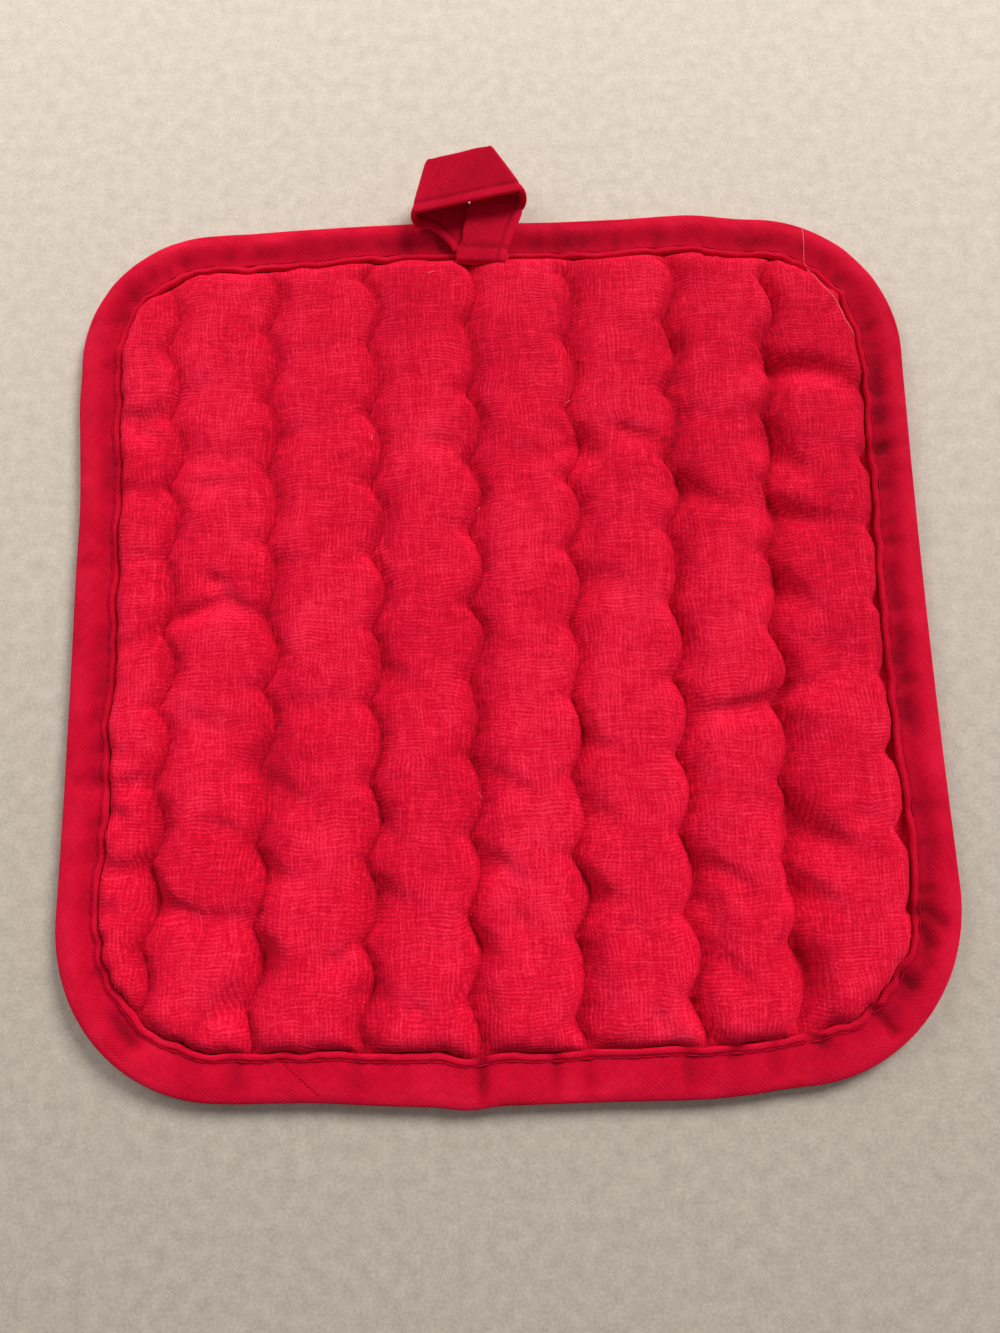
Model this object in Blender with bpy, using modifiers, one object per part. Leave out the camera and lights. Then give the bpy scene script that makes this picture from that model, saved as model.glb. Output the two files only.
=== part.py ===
"""Quilted cotton pot holder with a bound edge and a hanging loop, lying flat.

Sizes are in millimetres and become metres when a mesh is finished. +X runs across the stitch rows, +Y runs
towards the hanging loop and +Z is up. The origin is on the flat underside, below the middle of the pad.
"""

import math
from collections import namedtuple

import bmesh
import bpy
from mathutils import Vector, noise

METRES = 0.001
PART_NAME = "quilted_pot_holder"

# Outline of the bound edge, seen from above
HALF_WIDTH = 99.7
HALF_LENGTH = 98.1
SIDE_DRAW_IN = 1.8  # how far the left and right sides draw in at their middle
END_BOW = 5.2  # how far the upper and lower ends bow out at their middle
CORNER_STEPS = 10
SIDE_STEPS = 22

Corner = namedtuple("Corner", "side_x side_y radius first_angle next_side")
CORNERS = (
    Corner(+1, -1, 37.2, -90, "right"),
    Corner(+1, +1, 33.3, 0, "upper"),
    Corner(-1, +1, 31.0, 90, "left"),
    Corner(-1, -1, 36.0, 180, "lower"),
)

# Small waves of the outline: a place along its side, how far it stands out, and how far it reaches each way
EdgeWave = namedtuple("EdgeWave", "side along outward reach")
EDGE_WAVES = (
    EdgeWave("upper", 0, -0.5, 75),
    EdgeWave("upper", -70, -0.4, 9),
    EdgeWave("upper", 12, -0.8, 18),
    EdgeWave("upper", 50, 1.1, 10),
    EdgeWave("lower", -42, -0.7, 14),
    EdgeWave("lower", -10, 0.8, 5),
    EdgeWave("lower", 42, 0.8, 16),
    EdgeWave("lower", 70, -0.6, 8),
    EdgeWave("left", 60, 0.5, 10),
    EdgeWave("left", 30, -0.4, 12),
    EdgeWave("left", -70, -0.5, 8),
    EdgeWave("right", 70, -0.4, 9),
)

# The edge lifts a little off the surface: the side or corner, as signs of X and Y, and how high it lifts there
EdgeLift = namedtuple("EdgeLift", "side_x side_y height")
EDGE_LIFTS = (
    EdgeLift(-1, -1, 1.6),
    EdgeLift(+1, -1, 0.9),
    EdgeLift(-1, +1, 0.6),
    EdgeLift(+1, +1, 0.5),
    EdgeLift(0, -1, 0.5),
    EdgeLift(-1, 0, 0.3),
)
LIFT_START = 62.0
LIFT_END = 102.0

# Stitch rows: X at Y +80, 0 and -80, and a Y where the row bulges to +X between two cusps
StitchRow = namedtuple("StitchRow", "upper middle lower bulge")
STITCH_ROWS = (
    StitchRow(-77.5, -76.8, -80.5, -8.5),
    StitchRow(-54.2, -53.6, -57.0, -5.0),
    StitchRow(-30.6, -29.7, -32.5, -9.0),
    StitchRow(-6.4, -7.3, -9.6, -4.0),
    StitchRow(17.4, 15.3, 13.5, -9.0),
    StitchRow(41.2, 38.4, 37.7, -5.0),
    StitchRow(64.8, 60.8, 60.0, -11.5),
    StitchRow(86.5, 84.0, 85.5, -5.5),
)
ROW_SPAN = 80.0
SCALLOP_LENGTH = 17.2
SCALLOP_DEPTH = 3.0

# Heights of the pad above the surface that it lies on
GROOVE_HEIGHT = 4.7
CROWN_HEIGHT = 8.1
CROWN_WAVE = 0.45  # how far the crowns' height wanders
CROWN_WAVE_LENGTH = 18.0
CROWN_POWER = 3.0  # how square the crowns are across
CREASE_ON_ROW = 0.3  # the share of its depth that a crease keeps on a stitch row
RIGHT_STRIP_RISE = 0.33  # the share of the way to the right edge where the last strip is full
BACK_GROOVE = 0.7
RIM_MIDDLE = 2.9  # the middle of the bound rim
RIM_HALF_THICKNESS = 0.75  # of the pad, where the binding holds it

# Distances in from the outline
RIM_INSET = 1.65
CROWN_START = 13.0
CROWN_FULL = 25.0
CROWN_ROUNDING = 0.6  # under 1 makes the rise from the rim steep at first
BELLY_START = 16.0
BELLY_FULL = 22.5

# Grid of the pad's two faces: columns as shares of the way between stitch rows, or out from the outermost ones
FRONT_SHARES = (0.0, 0.15, 0.38, 0.62, 0.85)
BACK_SHARES = (0.0, 0.16, 0.84)
LEFT_STRIP_SHARES = (0.0, 0.25, 0.45, 0.62, 0.78, 0.9)
RIGHT_STRIP_SHARES = (0.0, 0.2, 0.5, 1.0)
FRONT_ROW_STEP = SCALLOP_LENGTH / 5
BACK_ROW_STEP = SCALLOP_LENGTH / 3
GRID_REACH = 108.0
SLAB_BOTTOM = -10.0
SLAB_TOP = 20.0
BLOCK_BOTTOM = -5.0
BLOCK_HEIGHT = 20.0

# Main creases of the front: a trough through three points, with its depth and its half width
Crease = namedtuple("Crease", "start middle end depth half_width")
CREASES = (
    Crease((62, 63), (73, 61), (84, 58), 2.4, 3.2),
    Crease((78, -10), (60, -18), (46, -21), 1.5, 3.0),
    Crease((41, 33), (47, 30), (53, 25), 1.3, 2.8),
    Crease((63, 27), (71, 23), (79, 22), 1.3, 2.8),
    Crease((64, 45), (68, 38), (73, 33), 1.3, 3.4),
    Crease((62, -43), (68, -45), (74, -51), 1.4, 3.4),
    Crease((41, -54), (48, -55), (53, -59), 1.1, 2.8),
    Crease((-78, -56), (-66, -64), (-57, -62), 1.9, 3.0),
    Crease((-54, -72), (-62, -81), (-64, -90), 1.9, 3.0),
    Crease((-75, -30), (-80, -32), (-87, -34), 1.8, 2.8),
    Crease((-62, 62), (-75, 54), (-87, 52), 1.3, 3.0),
    Crease((-75, 3), (-62, 8), (-54, 2), 1.7, 2.8),
    Crease((-53, -34), (-47, -38), (-42, -42), 1.1, 2.8),
    Crease((-54, 59), (-49, 63), (-45, 67), 1.0, 2.8),
    Crease((29, 47), (34, 45), (39, 43), 0.9, 2.6),
    Crease((-15, 44), (-12, 43), (-8, 42), 0.8, 2.6),
)

# Binding: a folded tape seen in section, as distance in from the outline and height from the rim's middle
TAPE_THICKNESS = 1.1
LIP_WIDTHS = {"left": 10.5, "right": 10.9, "upper": 11.3, "lower": 10.7}
LIP_WAVE = 0.35
LIP_WAVE_LENGTH = 11.0
BINDING_HEIGHT_WAVE = 0.25
BINDING_HEIGHT_WAVE_LENGTH = 16.0
SectionPoint = namedtuple("SectionPoint", "inward height")
BINDING_OUTSIDE = (
    SectionPoint(1.0, 2.45),
    SectionPoint(0.84, 2.2),
    SectionPoint(0.5, 2.8),
    SectionPoint(0.17, 2.35),
    SectionPoint(0.035, 1.3),
)
BINDING_INSIDE = (
    SectionPoint(0.105, 0.75),
    SectionPoint(0.17, 1.3),
    SectionPoint(0.5, 1.65),
    SectionPoint(0.84, 1.1),
    SectionPoint(1.0, 1.3),
)

# Puckers across the binding: a place along its side, the depth, and how far it reaches each way
Pucker = namedtuple("Pucker", "side along depth reach")
PUCKERS = (
    Pucker("lower", -6.5, 0.5, 2.6),
    Pucker("lower", 9, 0.3, 2.2),
    Pucker("lower", 16, 0.25, 2.2),
    Pucker("lower", 37, 0.25, 2.6),
    Pucker("upper", 17, 0.3, 2.6),
    Pucker("upper", 41, 0.3, 2.8),
    Pucker("left", 17, 0.25, 2.6),
    Pucker("left", -33, 0.3, 2.6),
    Pucker("right", 40, 0.25, 2.8),
    Pucker("right", -44, 0.25, 2.8),
)

# Hanging loop: rungs across the tape from its stitched edge to its plain edge. A turn is a half turn about the
# rung, from the row before it to its own, which lies above or below that one.
Rung = namedtuple("Rung", "turn stitched_edge plain_edge")
LOOP_RUNGS = (
    Rung(False, (4.9, 91.0, 6.3), (-6.6, 91.5, 6.3)),
    Rung(False, (4.2, 89.4, 6.3), (-7.0, 90.2, 6.3)),
    Rung(True, (4.2, 89.4, 7.75), (-7.0, 90.2, 7.75)),
    Rung(False, (5.0, 92.4, 7.8), (-6.5, 93.8, 8.2)),
    Rung(False, (6.1, 95.8, 7.6), (-5.9, 98.0, 8.3)),
    Rung(False, (7.4, 99.2, 7.2), (-4.4, 103.6, 8.2)),
    Rung(False, (8.3, 101.7, 6.8), (-2.0, 110.0, 7.3)),
    Rung(False, (8.5, 103.1, 6.7), (0.4, 116.0, 6.7)),
    Rung(True, (7.8, 103.9, 12.7), (0.4, 116.0, 12.7)),
    Rung(False, (2.6, 102.9, 12.8), (-2.6, 115.6, 12.7)),
    Rung(False, (-4.8, 101.4, 12.8), (-6.4, 114.7, 12.6)),
    Rung(False, (-12.0, 99.9, 12.7), (-10.2, 113.9, 12.6)),
    Rung(False, (-16.9, 99.1, 12.6), (-13.0, 113.2, 12.6)),
    Rung(True, (-16.9, 99.1, 6.7), (-13.0, 113.2, 6.7)),
    Rung(False, (-14.0, 98.6, 6.7), (-8.6, 109.6, 6.6)),
    Rung(False, (-11.3, 96.4, 6.7), (-4.6, 105.4, 6.6)),
    Rung(False, (-9.3, 94.0, 6.7), (-1.6, 101.6, 6.6)),
    Rung(False, (-8.4, 92.2, 6.6), (0.2, 98.6, 6.6)),
)
RUNGS_PER_TURN = 8
RUNG_SPACING = 2.2
STEPS_ACROSS_TAPE = 5
MERGE_DISTANCE = 0.001

CLOTH_COLOUR = (0.79, 0.012, 0.038, 1.0)
TAPE_COLOUR = (0.61, 0.010, 0.036, 1.0)
CLOTH_ROUGHNESS = 0.85


def smooth_step(low, high, value):
    share = min(max((value - low) / (high - low), 0.0), 1.0)
    return share * share * (3.0 - 2.0 * share)


def hump(distance, reach):
    """1 in the middle of a small wave, and near 0 from twice its reach on."""
    return math.exp(-((distance / reach) ** 2))


def uneven(x, y, wave_length, layer):
    """Smooth unevenness between about -1 and 1, of which each layer has its own."""
    return noise.noise(Vector((x / wave_length, y / wave_length, layer)))


# ---------------------------------------------------------------- outline


def bowed(x, y):
    """A point of the plain rounded rectangle, moved by the bow of its sides and ends."""
    across = SIDE_DRAW_IN * (1.0 - (y / HALF_LENGTH) ** 2)
    along = END_BOW * (1.0 - (x / HALF_WIDTH) ** 2)
    return x - math.copysign(across, x) * abs(x) / HALF_WIDTH, y + math.copysign(along, y) * abs(y) / HALF_LENGTH


def wave_of(side, along):
    return sum(wave.outward * hump(along - wave.along, wave.reach) for wave in EDGE_WAVES if wave.side == side)


Station = namedtuple("Station", "x y out_x out_y side along")


def corner_stations(corner):
    centre_x = corner.side_x * (HALF_WIDTH - corner.radius)
    centre_y = corner.side_y * (HALF_LENGTH - corner.radius)
    for step in range(CORNER_STEPS + 1):
        angle = math.radians(corner.first_angle + 90.0 * step / CORNER_STEPS)
        out_x, out_y = math.cos(angle), math.sin(angle)
        x, y = bowed(centre_x + corner.radius * out_x, centre_y + corner.radius * out_y)
        yield Station(x, y, out_x, out_y, None, 0.0)


def side_stations(start, end, side):
    """Stations between two corners, on the straight run that the bow and the small waves then bend."""
    for step in range(1, SIDE_STEPS):
        share = step / SIDE_STEPS
        x, y = bowed(start[0] + (end[0] - start[0]) * share, start[1] + (end[1] - start[1]) * share)
        out_x = {"left": -1.0, "right": 1.0}.get(side, 0.0)
        out_y = {"lower": -1.0, "upper": 1.0}.get(side, 0.0)
        along = x if out_y else y
        wave = wave_of(side, along)
        yield Station(x + out_x * wave, y + out_y * wave, out_x, out_y, side, along)


def side_end(corner, angle):
    """Where a corner's arc meets a straight side of the plain rounded rectangle."""
    x = corner.side_x * (HALF_WIDTH - corner.radius) + corner.radius * math.cos(math.radians(angle))
    y = corner.side_y * (HALF_LENGTH - corner.radius) + corner.radius * math.sin(math.radians(angle))
    return x, y


def outline_stations():
    """Once round the outline, anticlockwise from the lower right corner."""
    stations = []
    for corner, next_corner in zip(CORNERS, CORNERS[1:] + CORNERS[:1]):
        stations += corner_stations(corner)
        start = side_end(corner, corner.first_angle + 90)
        end = side_end(next_corner, next_corner.first_angle)
        stations += side_stations(start, end, corner.next_side)
    return stations


def corner_radius(x, y):
    for corner in CORNERS:
        if (x >= 0) == (corner.side_x > 0) and (y >= 0) == (corner.side_y > 0):
            return corner.radius
    return CORNERS[0].radius


def distance_in(x, y):
    """How far a point lies inside the outline."""
    radius = corner_radius(x, y)
    half_width = HALF_WIDTH - SIDE_DRAW_IN * (1.0 - (y / HALF_LENGTH) ** 2)
    half_length = HALF_LENGTH + END_BOW * (1.0 - (x / HALF_WIDTH) ** 2)
    past_x = abs(x) - half_width + radius
    past_y = abs(y) - half_length + radius
    beyond = math.hypot(max(past_x, 0.0), max(past_y, 0.0)) + min(max(past_x, past_y), 0.0)
    return radius - beyond


def edge_lift(x, y):
    """How far the edge has lifted off the surface at a point."""
    lift = 0.0
    for corner in EDGE_LIFTS:
        toward_x = smooth_step(LIFT_START, LIFT_END, corner.side_x * x) if corner.side_x else 1.0
        toward_y = smooth_step(LIFT_START, LIFT_END, corner.side_y * y) if corner.side_y else 1.0
        lift += corner.height * toward_x * toward_y
    return lift


# ---------------------------------------------------------------- quilting


def cusp_x(row, y):
    """X of a stitch row's cusps at a height y: a parabola through its three stated places."""
    share = y / ROW_SPAN
    bend = (row.upper + row.lower) / 2 - row.middle
    return row.middle + share * (row.upper - row.lower) / 2 + bend * share * share


def stitch_x(row, y):
    bulge = abs(math.cos(math.pi * (y - row.bulge) / SCALLOP_LENGTH))
    return cusp_x(row, y) + SCALLOP_DEPTH * bulge


def distance_to_segment(x, y, start, end):
    run_x, run_y = end[0] - start[0], end[1] - start[1]
    share = ((x - start[0]) * run_x + (y - start[1]) * run_y) / (run_x**2 + run_y**2)
    share = min(max(share, 0.0), 1.0)
    return math.hypot(x - start[0] - share * run_x, y - start[1] - share * run_y)


def crease_depth(x, y):
    depth = 0.0
    for crease in CREASES:
        near = min(
            distance_to_segment(x, y, crease.start, crease.middle),
            distance_to_segment(x, y, crease.middle, crease.end),
        )
        depth = max(depth, crease.depth * hump(near, crease.half_width))
    return depth


def puff_of(gap, share):
    """How full the padding is at a column: 0 on a stitch row and 1 midway between two."""
    if gap < 0:
        return 1.0 - share**CROWN_POWER
    if gap + 1 == len(STITCH_ROWS):
        return min(share / RIGHT_STRIP_RISE, 1.0)
    return 1.0 - abs(2.0 * share - 1.0) ** CROWN_POWER


def front_height(x, y, puff):
    """Height of the quilted face."""
    crown = CROWN_HEIGHT + CROWN_WAVE * uneven(x, y, CROWN_WAVE_LENGTH, 2.5)
    crease = crease_depth(x, y) * (CREASE_ON_ROW + (1.0 - CREASE_ON_ROW) * puff)
    height = GROOVE_HEIGHT + (crown - GROOVE_HEIGHT) * puff - crease
    rim = RIM_MIDDLE + RIM_HALF_THICKNESS
    share = smooth_step(CROWN_START, CROWN_FULL, distance_in(x, y)) ** CROWN_ROUNDING
    return rim + (height - rim) * share + edge_lift(x, y)


def back_height(x, y, puff):
    """Height of the underside: flat where it rests, with a shallow groove under each stitch row."""
    groove = BACK_GROOVE if puff == 0.0 else 0.0
    rim = RIM_MIDDLE - RIM_HALF_THICKNESS
    share = smooth_step(BELLY_START, BELLY_FULL, distance_in(x, y))
    return rim + (groove - rim) * share + edge_lift(x, y)


def column_places(shares):
    """The pad's grid columns: which gap between stitch rows each one is in, and its share of the way across."""
    last = len(STITCH_ROWS) - 1
    left_strip = [(-1, share) for share in LEFT_STRIP_SHARES]
    right_strip = [(last, share) for share in RIGHT_STRIP_SHARES]
    between = [(gap, share) for gap in range(last) for share in shares]
    return left_strip + between + right_strip


def column_x(gap, share, y):
    left = -GRID_REACH if gap < 0 else stitch_x(STITCH_ROWS[gap], y)
    right = GRID_REACH if gap + 1 == len(STITCH_ROWS) else stitch_x(STITCH_ROWS[gap + 1], y)
    return left + (right - left) * share


def column_phase(gap, share, row_step):
    """Moves a column's rows of points along Y, so that they fall on its stitch row's cusps."""
    last = len(STITCH_ROWS) - 1
    left = STITCH_ROWS[max(gap, 0)].bulge
    right = STITCH_ROWS[min(gap + 1, last)].bulge
    half = row_step / 2

    def phase(bulge):
        return (bulge + SCALLOP_LENGTH / 2 + half) % row_step - half

    return phase(left) * (1.0 - share) + phase(right) * share


# ---------------------------------------------------------------- mesh helpers


def finish_mesh(bm, name, collection, material):
    """Turns the work into metres and gives it an object of its own."""
    bmesh.ops.scale(bm, vec=Vector((METRES, METRES, METRES)), verts=bm.verts)
    bmesh.ops.recalc_face_normals(bm, faces=bm.faces)
    mesh = bpy.data.meshes.new(name)
    bm.to_mesh(mesh)
    bm.free()
    mesh.shade_smooth()
    mesh.materials.append(material)
    piece = bpy.data.objects.new(name, mesh)
    collection.objects.link(piece)
    return piece


def placed_grid(columns, rows, place):
    """A grid whose points go where place(column, row) says, in millimetres."""
    bm = bmesh.new()
    bmesh.ops.create_grid(bm, x_segments=columns - 1, y_segments=rows - 1, size=0.5)
    for vert in bm.verts:
        column = round((vert.co.x + 0.5) * (columns - 1))
        row = round((vert.co.y + 0.5) * (rows - 1))
        vert.co = Vector(place(column, row))
    return bm


def cloth_material(name, colour):
    material = bpy.data.materials.new(name)
    material.use_nodes = True
    material.diffuse_color = colour
    shader = material.node_tree.nodes["Principled BSDF"]
    shader.inputs["Base Color"].default_value = colour
    shader.inputs["Roughness"].default_value = CLOTH_ROUGHNESS
    shader.inputs["Metallic"].default_value = 0.0
    return material


def as_cutter(piece):
    piece.hide_render = True
    piece.display_type = "WIRE"
    return piece


# ---------------------------------------------------------------- pieces


def quilted_slab(name, shares, row_step, height, far_side, collection, material):
    """A slab with one quilted face, whose other side is flat and far off."""
    places = column_places(shares)
    row_count = 2 * math.ceil(GRID_REACH / row_step) + 1

    def place(column, row):
        gap, share = places[column]
        y = (row - row_count // 2) * row_step + column_phase(gap, share, row_step)
        x = column_x(gap, share, y)
        return x, y, height(x, y, puff_of(gap, share))

    bm = placed_grid(len(places), row_count, place)
    bmesh.ops.triangulate(bm, faces=bm.faces)
    grown = bmesh.ops.extrude_face_region(bm, geom=bm.faces[:])
    for item in grown["geom"]:
        if isinstance(item, bmesh.types.BMVert):
            item.co.z = far_side
    flat_side = [face for face in bm.faces if all(vert.co.z == far_side for vert in face.verts)]
    bmesh.ops.dissolve_faces(bm, faces=flat_side)
    return finish_mesh(bm, name, collection, material)


def outline_block(collection, material):
    """A block with the pad's own outline, inside the binding's fold."""
    stations = outline_stations()
    bm = bmesh.new()
    bmesh.ops.create_circle(bm, segments=len(stations), radius=1.0, cap_ends=True)
    for vert in bm.verts:
        turn = math.atan2(vert.co.y, vert.co.x) / (2.0 * math.pi)
        station = stations[round(turn * len(stations)) % len(stations)]
        vert.co.x = station.x - station.out_x * RIM_INSET
        vert.co.y = station.y - station.out_y * RIM_INSET
        vert.co.z = BLOCK_BOTTOM
    grown = bmesh.ops.extrude_face_region(bm, geom=bm.faces[:])
    top = [item for item in grown["geom"] if isinstance(item, bmesh.types.BMVert)]
    bmesh.ops.translate(bm, vec=Vector((0.0, 0.0, BLOCK_HEIGHT)), verts=top)
    return finish_mesh(bm, "pad_outline", collection, material)


def make_pad(pieces, cutters, material):
    """The quilted body: its front, kept where it lies over its back and inside its outline."""
    pad = quilted_slab(
        "quilted_pad", FRONT_SHARES, FRONT_ROW_STEP, front_height, SLAB_BOTTOM, pieces, material
    )
    back = quilted_slab("pad_back", BACK_SHARES, BACK_ROW_STEP, back_height, SLAB_TOP, cutters, material)
    for cutter in (outline_block(cutters, material), back):
        cut = pad.modifiers.new(cutter.name, "BOOLEAN")
        cut.operation = "INTERSECT"
        cut.solver = "EXACT"
        cut.object = as_cutter(cutter)
    return pad


def lip_width(station):
    """How far in the tape reaches: each side's own width, blended round the corners, with a small wave."""
    across = LIP_WIDTHS["right" if station.out_x > 0 else "left"]
    along = LIP_WIDTHS["upper" if station.out_y > 0 else "lower"]
    wave = LIP_WAVE * uneven(station.x, station.y, LIP_WAVE_LENGTH, 0.5)
    return across * station.out_x**2 + along * station.out_y**2 + wave


def binding_section(station):
    """The tape's section at a station, as distances in and heights, once round from the upper lip."""
    lip = lip_width(station)
    puckers = [pucker for pucker in PUCKERS if pucker.side == station.side]
    sunk = sum(pucker.depth * hump(station.along - pucker.along, pucker.reach) for pucker in puckers)
    swell = BINDING_HEIGHT_WAVE * uneven(station.x, station.y, BINDING_HEIGHT_WAVE_LENGTH, 1.5)
    upper = [(point.inward * lip, point.height + swell - sunk) for point in BINDING_OUTSIDE]
    inner = [(point.inward * lip, point.height) for point in BINDING_INSIDE]
    rim = [(0.0, 0.0)]
    lower = [(inward, -point.height) for (inward, _), point in zip(upper[::-1], BINDING_OUTSIDE[::-1])]
    inner_lower = [(inward, -height) for inward, height in inner[::-1]]
    return upper + rim + lower + inner_lower + inner


def make_binding(pieces, material):
    """The folded tape round the whole edge, its two lips held on the front and on the back."""
    stations = outline_stations()
    sections = [binding_section(station) for station in stations]
    points_round = len(sections[0])

    def place(column, row):
        station = stations[column % len(stations)]
        inward, height = sections[column % len(stations)][row % points_round]
        x = station.x - station.out_x * inward
        y = station.y - station.out_y * inward
        return x, y, RIM_MIDDLE + height + edge_lift(x, y)

    bm = placed_grid(len(stations) + 1, points_round + 1, place)
    bmesh.ops.remove_doubles(bm, verts=bm.verts, dist=MERGE_DISTANCE)
    return finish_mesh(bm, "edge_binding", pieces, material)


def half_turn(before, after, came_from):
    """Rungs of a half turn from one rung to the one above or below it, bulging away from where the tape came."""
    stitched, plain = Vector(before.stitched_edge), Vector(before.plain_edge)
    end_stitched, end_plain = Vector(after.stitched_edge), Vector(after.plain_edge)
    outward = (plain - stitched).cross(Vector((0.0, 0.0, 1.0))).normalized()
    middle = (Vector(came_from.stitched_edge) + Vector(came_from.plain_edge)) / 2
    if outward.dot((stitched + plain) / 2 - middle) < 0:
        outward.negate()
    rungs = []
    for step in range(1, RUNGS_PER_TURN + 1):
        angle = math.pi * step / RUNGS_PER_TURN
        share = (1.0 - math.cos(angle)) / 2
        edges = []
        for first, last in ((stitched, end_stitched), (plain, end_plain)):
            bulge = outward * (last - first).length / 2 * math.sin(angle)
            edges.append(first.lerp(last, share) + bulge)
        rungs.append(edges)
    return rungs


def eased(points, share):
    """A point between the middle two of four, on the smooth curve through them."""
    before, start, end, after = points
    square, cube = share * share, share * share * share
    return 0.5 * (
        2.0 * start
        + (end - before) * share
        + (2.0 * before - 5.0 * start + 4.0 * end - after) * square
        + (3.0 * start - before - 3.0 * end + after) * cube
    )


def straight_run(run):
    """Rungs of a stretch with no turn in it, on smooth curves through its rows' edges."""
    edges = [(Vector(row.stitched_edge), Vector(row.plain_edge)) for row in run]
    padded = [edges[0]] + edges + [edges[-1]]
    rungs = []
    for index in range(len(edges) - 1):
        gap = max((edges[index + 1][side] - edges[index][side]).length for side in (0, 1))
        steps = max(1, round(gap / RUNG_SPACING))
        for step in range(1, steps + 1):
            near = padded[index : index + 4]
            rungs.append([eased([pair[side] for pair in near], step / steps) for side in (0, 1)])
    return rungs


def loop_rungs():
    """All rungs of the hanging loop, from its turned-under end to its other end."""
    first = LOOP_RUNGS[0]
    rungs = [[Vector(first.stitched_edge), Vector(first.plain_edge)]]
    run = [first]
    for row in LOOP_RUNGS[1:]:
        if row.turn:
            rungs += straight_run(run)
            rungs += half_turn(run[-1], row, run[-2])
            run = [row]
        else:
            run.append(row)
    return rungs + straight_run(run)


def make_loop(pieces, material):
    """The hanging loop: one tape bent into a flat ring, its ends lying on each other on the binding."""
    rungs = loop_rungs()

    def place(column, row):
        stitched, plain = rungs[column]
        return stitched.lerp(plain, row / STEPS_ACROSS_TAPE)

    bm = placed_grid(len(rungs), STEPS_ACROSS_TAPE + 1, place)
    loop = finish_mesh(bm, "hanging_loop", pieces, material)
    thick = loop.modifiers.new("tape", "SOLIDIFY")
    thick.thickness = TAPE_THICKNESS * METRES
    thick.offset = 0.0
    thick.use_even_offset = True
    return loop


def new_collection(name):
    collection = bpy.data.collections.new(name)
    bpy.context.scene.collection.children.link(collection)
    return collection


def main():
    for thing in list(bpy.context.scene.objects):
        bpy.data.objects.remove(thing, do_unlink=True)
    pieces = new_collection(PART_NAME)
    cutters = new_collection("cutters")
    cloth = cloth_material("pad_cloth", CLOTH_COLOUR)
    tape = cloth_material("binding_tape", TAPE_COLOUR)
    make_pad(pieces, cutters, cloth)
    make_binding(pieces, tape)
    make_loop(pieces, tape)


main()
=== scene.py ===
"""Looks of a quilted cotton pot holder with a bound edge and a hanging loop, lying flat.

Shapes are worked out in millimetres and become metres when a mesh is finished. +X runs across the stitch
rows, +Y runs towards the hanging loop and +Z is up.
"""

import math
import random
from collections import namedtuple

import bmesh
import bpy
from mathutils import Matrix, Vector, kdtree, noise


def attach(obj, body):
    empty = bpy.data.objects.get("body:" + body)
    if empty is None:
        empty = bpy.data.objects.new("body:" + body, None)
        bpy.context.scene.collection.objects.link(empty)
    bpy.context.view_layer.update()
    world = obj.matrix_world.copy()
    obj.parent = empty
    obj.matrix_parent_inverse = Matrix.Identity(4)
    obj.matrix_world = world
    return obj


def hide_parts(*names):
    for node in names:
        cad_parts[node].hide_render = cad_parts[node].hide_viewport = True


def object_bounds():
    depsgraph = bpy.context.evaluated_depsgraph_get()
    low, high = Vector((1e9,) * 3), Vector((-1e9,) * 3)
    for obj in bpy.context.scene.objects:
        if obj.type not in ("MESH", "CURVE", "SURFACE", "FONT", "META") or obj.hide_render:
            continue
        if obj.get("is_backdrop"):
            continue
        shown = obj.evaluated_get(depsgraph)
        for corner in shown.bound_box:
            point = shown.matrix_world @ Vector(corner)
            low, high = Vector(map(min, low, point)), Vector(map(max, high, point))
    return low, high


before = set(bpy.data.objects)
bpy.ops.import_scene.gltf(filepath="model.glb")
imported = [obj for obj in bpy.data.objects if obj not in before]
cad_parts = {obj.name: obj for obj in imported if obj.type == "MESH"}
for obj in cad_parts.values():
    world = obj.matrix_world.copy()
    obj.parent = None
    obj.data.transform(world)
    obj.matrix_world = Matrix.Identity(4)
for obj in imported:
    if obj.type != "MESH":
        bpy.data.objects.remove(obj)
cad_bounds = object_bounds()

METRES = 0.001

# Smooth unevenness: how high it is, how long its lumps are along X and Y, and a layer of its own in the noise
Lumps = namedtuple("Lumps", "height length_x length_y layer")

# Outline of the bound edge
HALF_WIDTH = 99.7
HALF_LENGTH = 98.1
SIDE_DRAW_IN = 1.8
END_BOW = 5.2
CORNER_STEPS = 46
SIDE_STEPS = 120

# Corners anticlockwise: on which side of X and Y each lies, its radius, where its arc starts in degrees, and
# the side that follows it
Corner = namedtuple("Corner", "side_x side_y radius first_angle next_side")
CORNERS = (
    Corner(+1, -1, 37.2, -90, "right"),
    Corner(+1, +1, 33.3, 0, "upper"),
    Corner(-1, +1, 31.0, 90, "left"),
    Corner(-1, -1, 36.0, 180, "lower"),
)

# Small waves of the outline: a place along its side, how far it stands out, and how far it reaches each way
EdgeWave = namedtuple("EdgeWave", "side along outward reach")
EDGE_WAVES = (
    EdgeWave("upper", 0, -0.5, 75),
    EdgeWave("upper", -70, -0.4, 9),
    EdgeWave("upper", 12, -0.8, 18),
    EdgeWave("upper", 50, 1.1, 10),
    EdgeWave("lower", -42, -0.7, 14),
    EdgeWave("lower", -10, 0.8, 5),
    EdgeWave("lower", 42, 0.8, 16),
    EdgeWave("lower", 70, -0.6, 8),
    EdgeWave("left", 60, 0.5, 10),
    EdgeWave("left", 30, -0.4, 12),
    EdgeWave("left", -70, -0.5, 8),
    EdgeWave("right", 70, -0.4, 9),
)

WAVE_FADE = 0.1  # the share of a side over which its waves die out towards the corners

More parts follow.
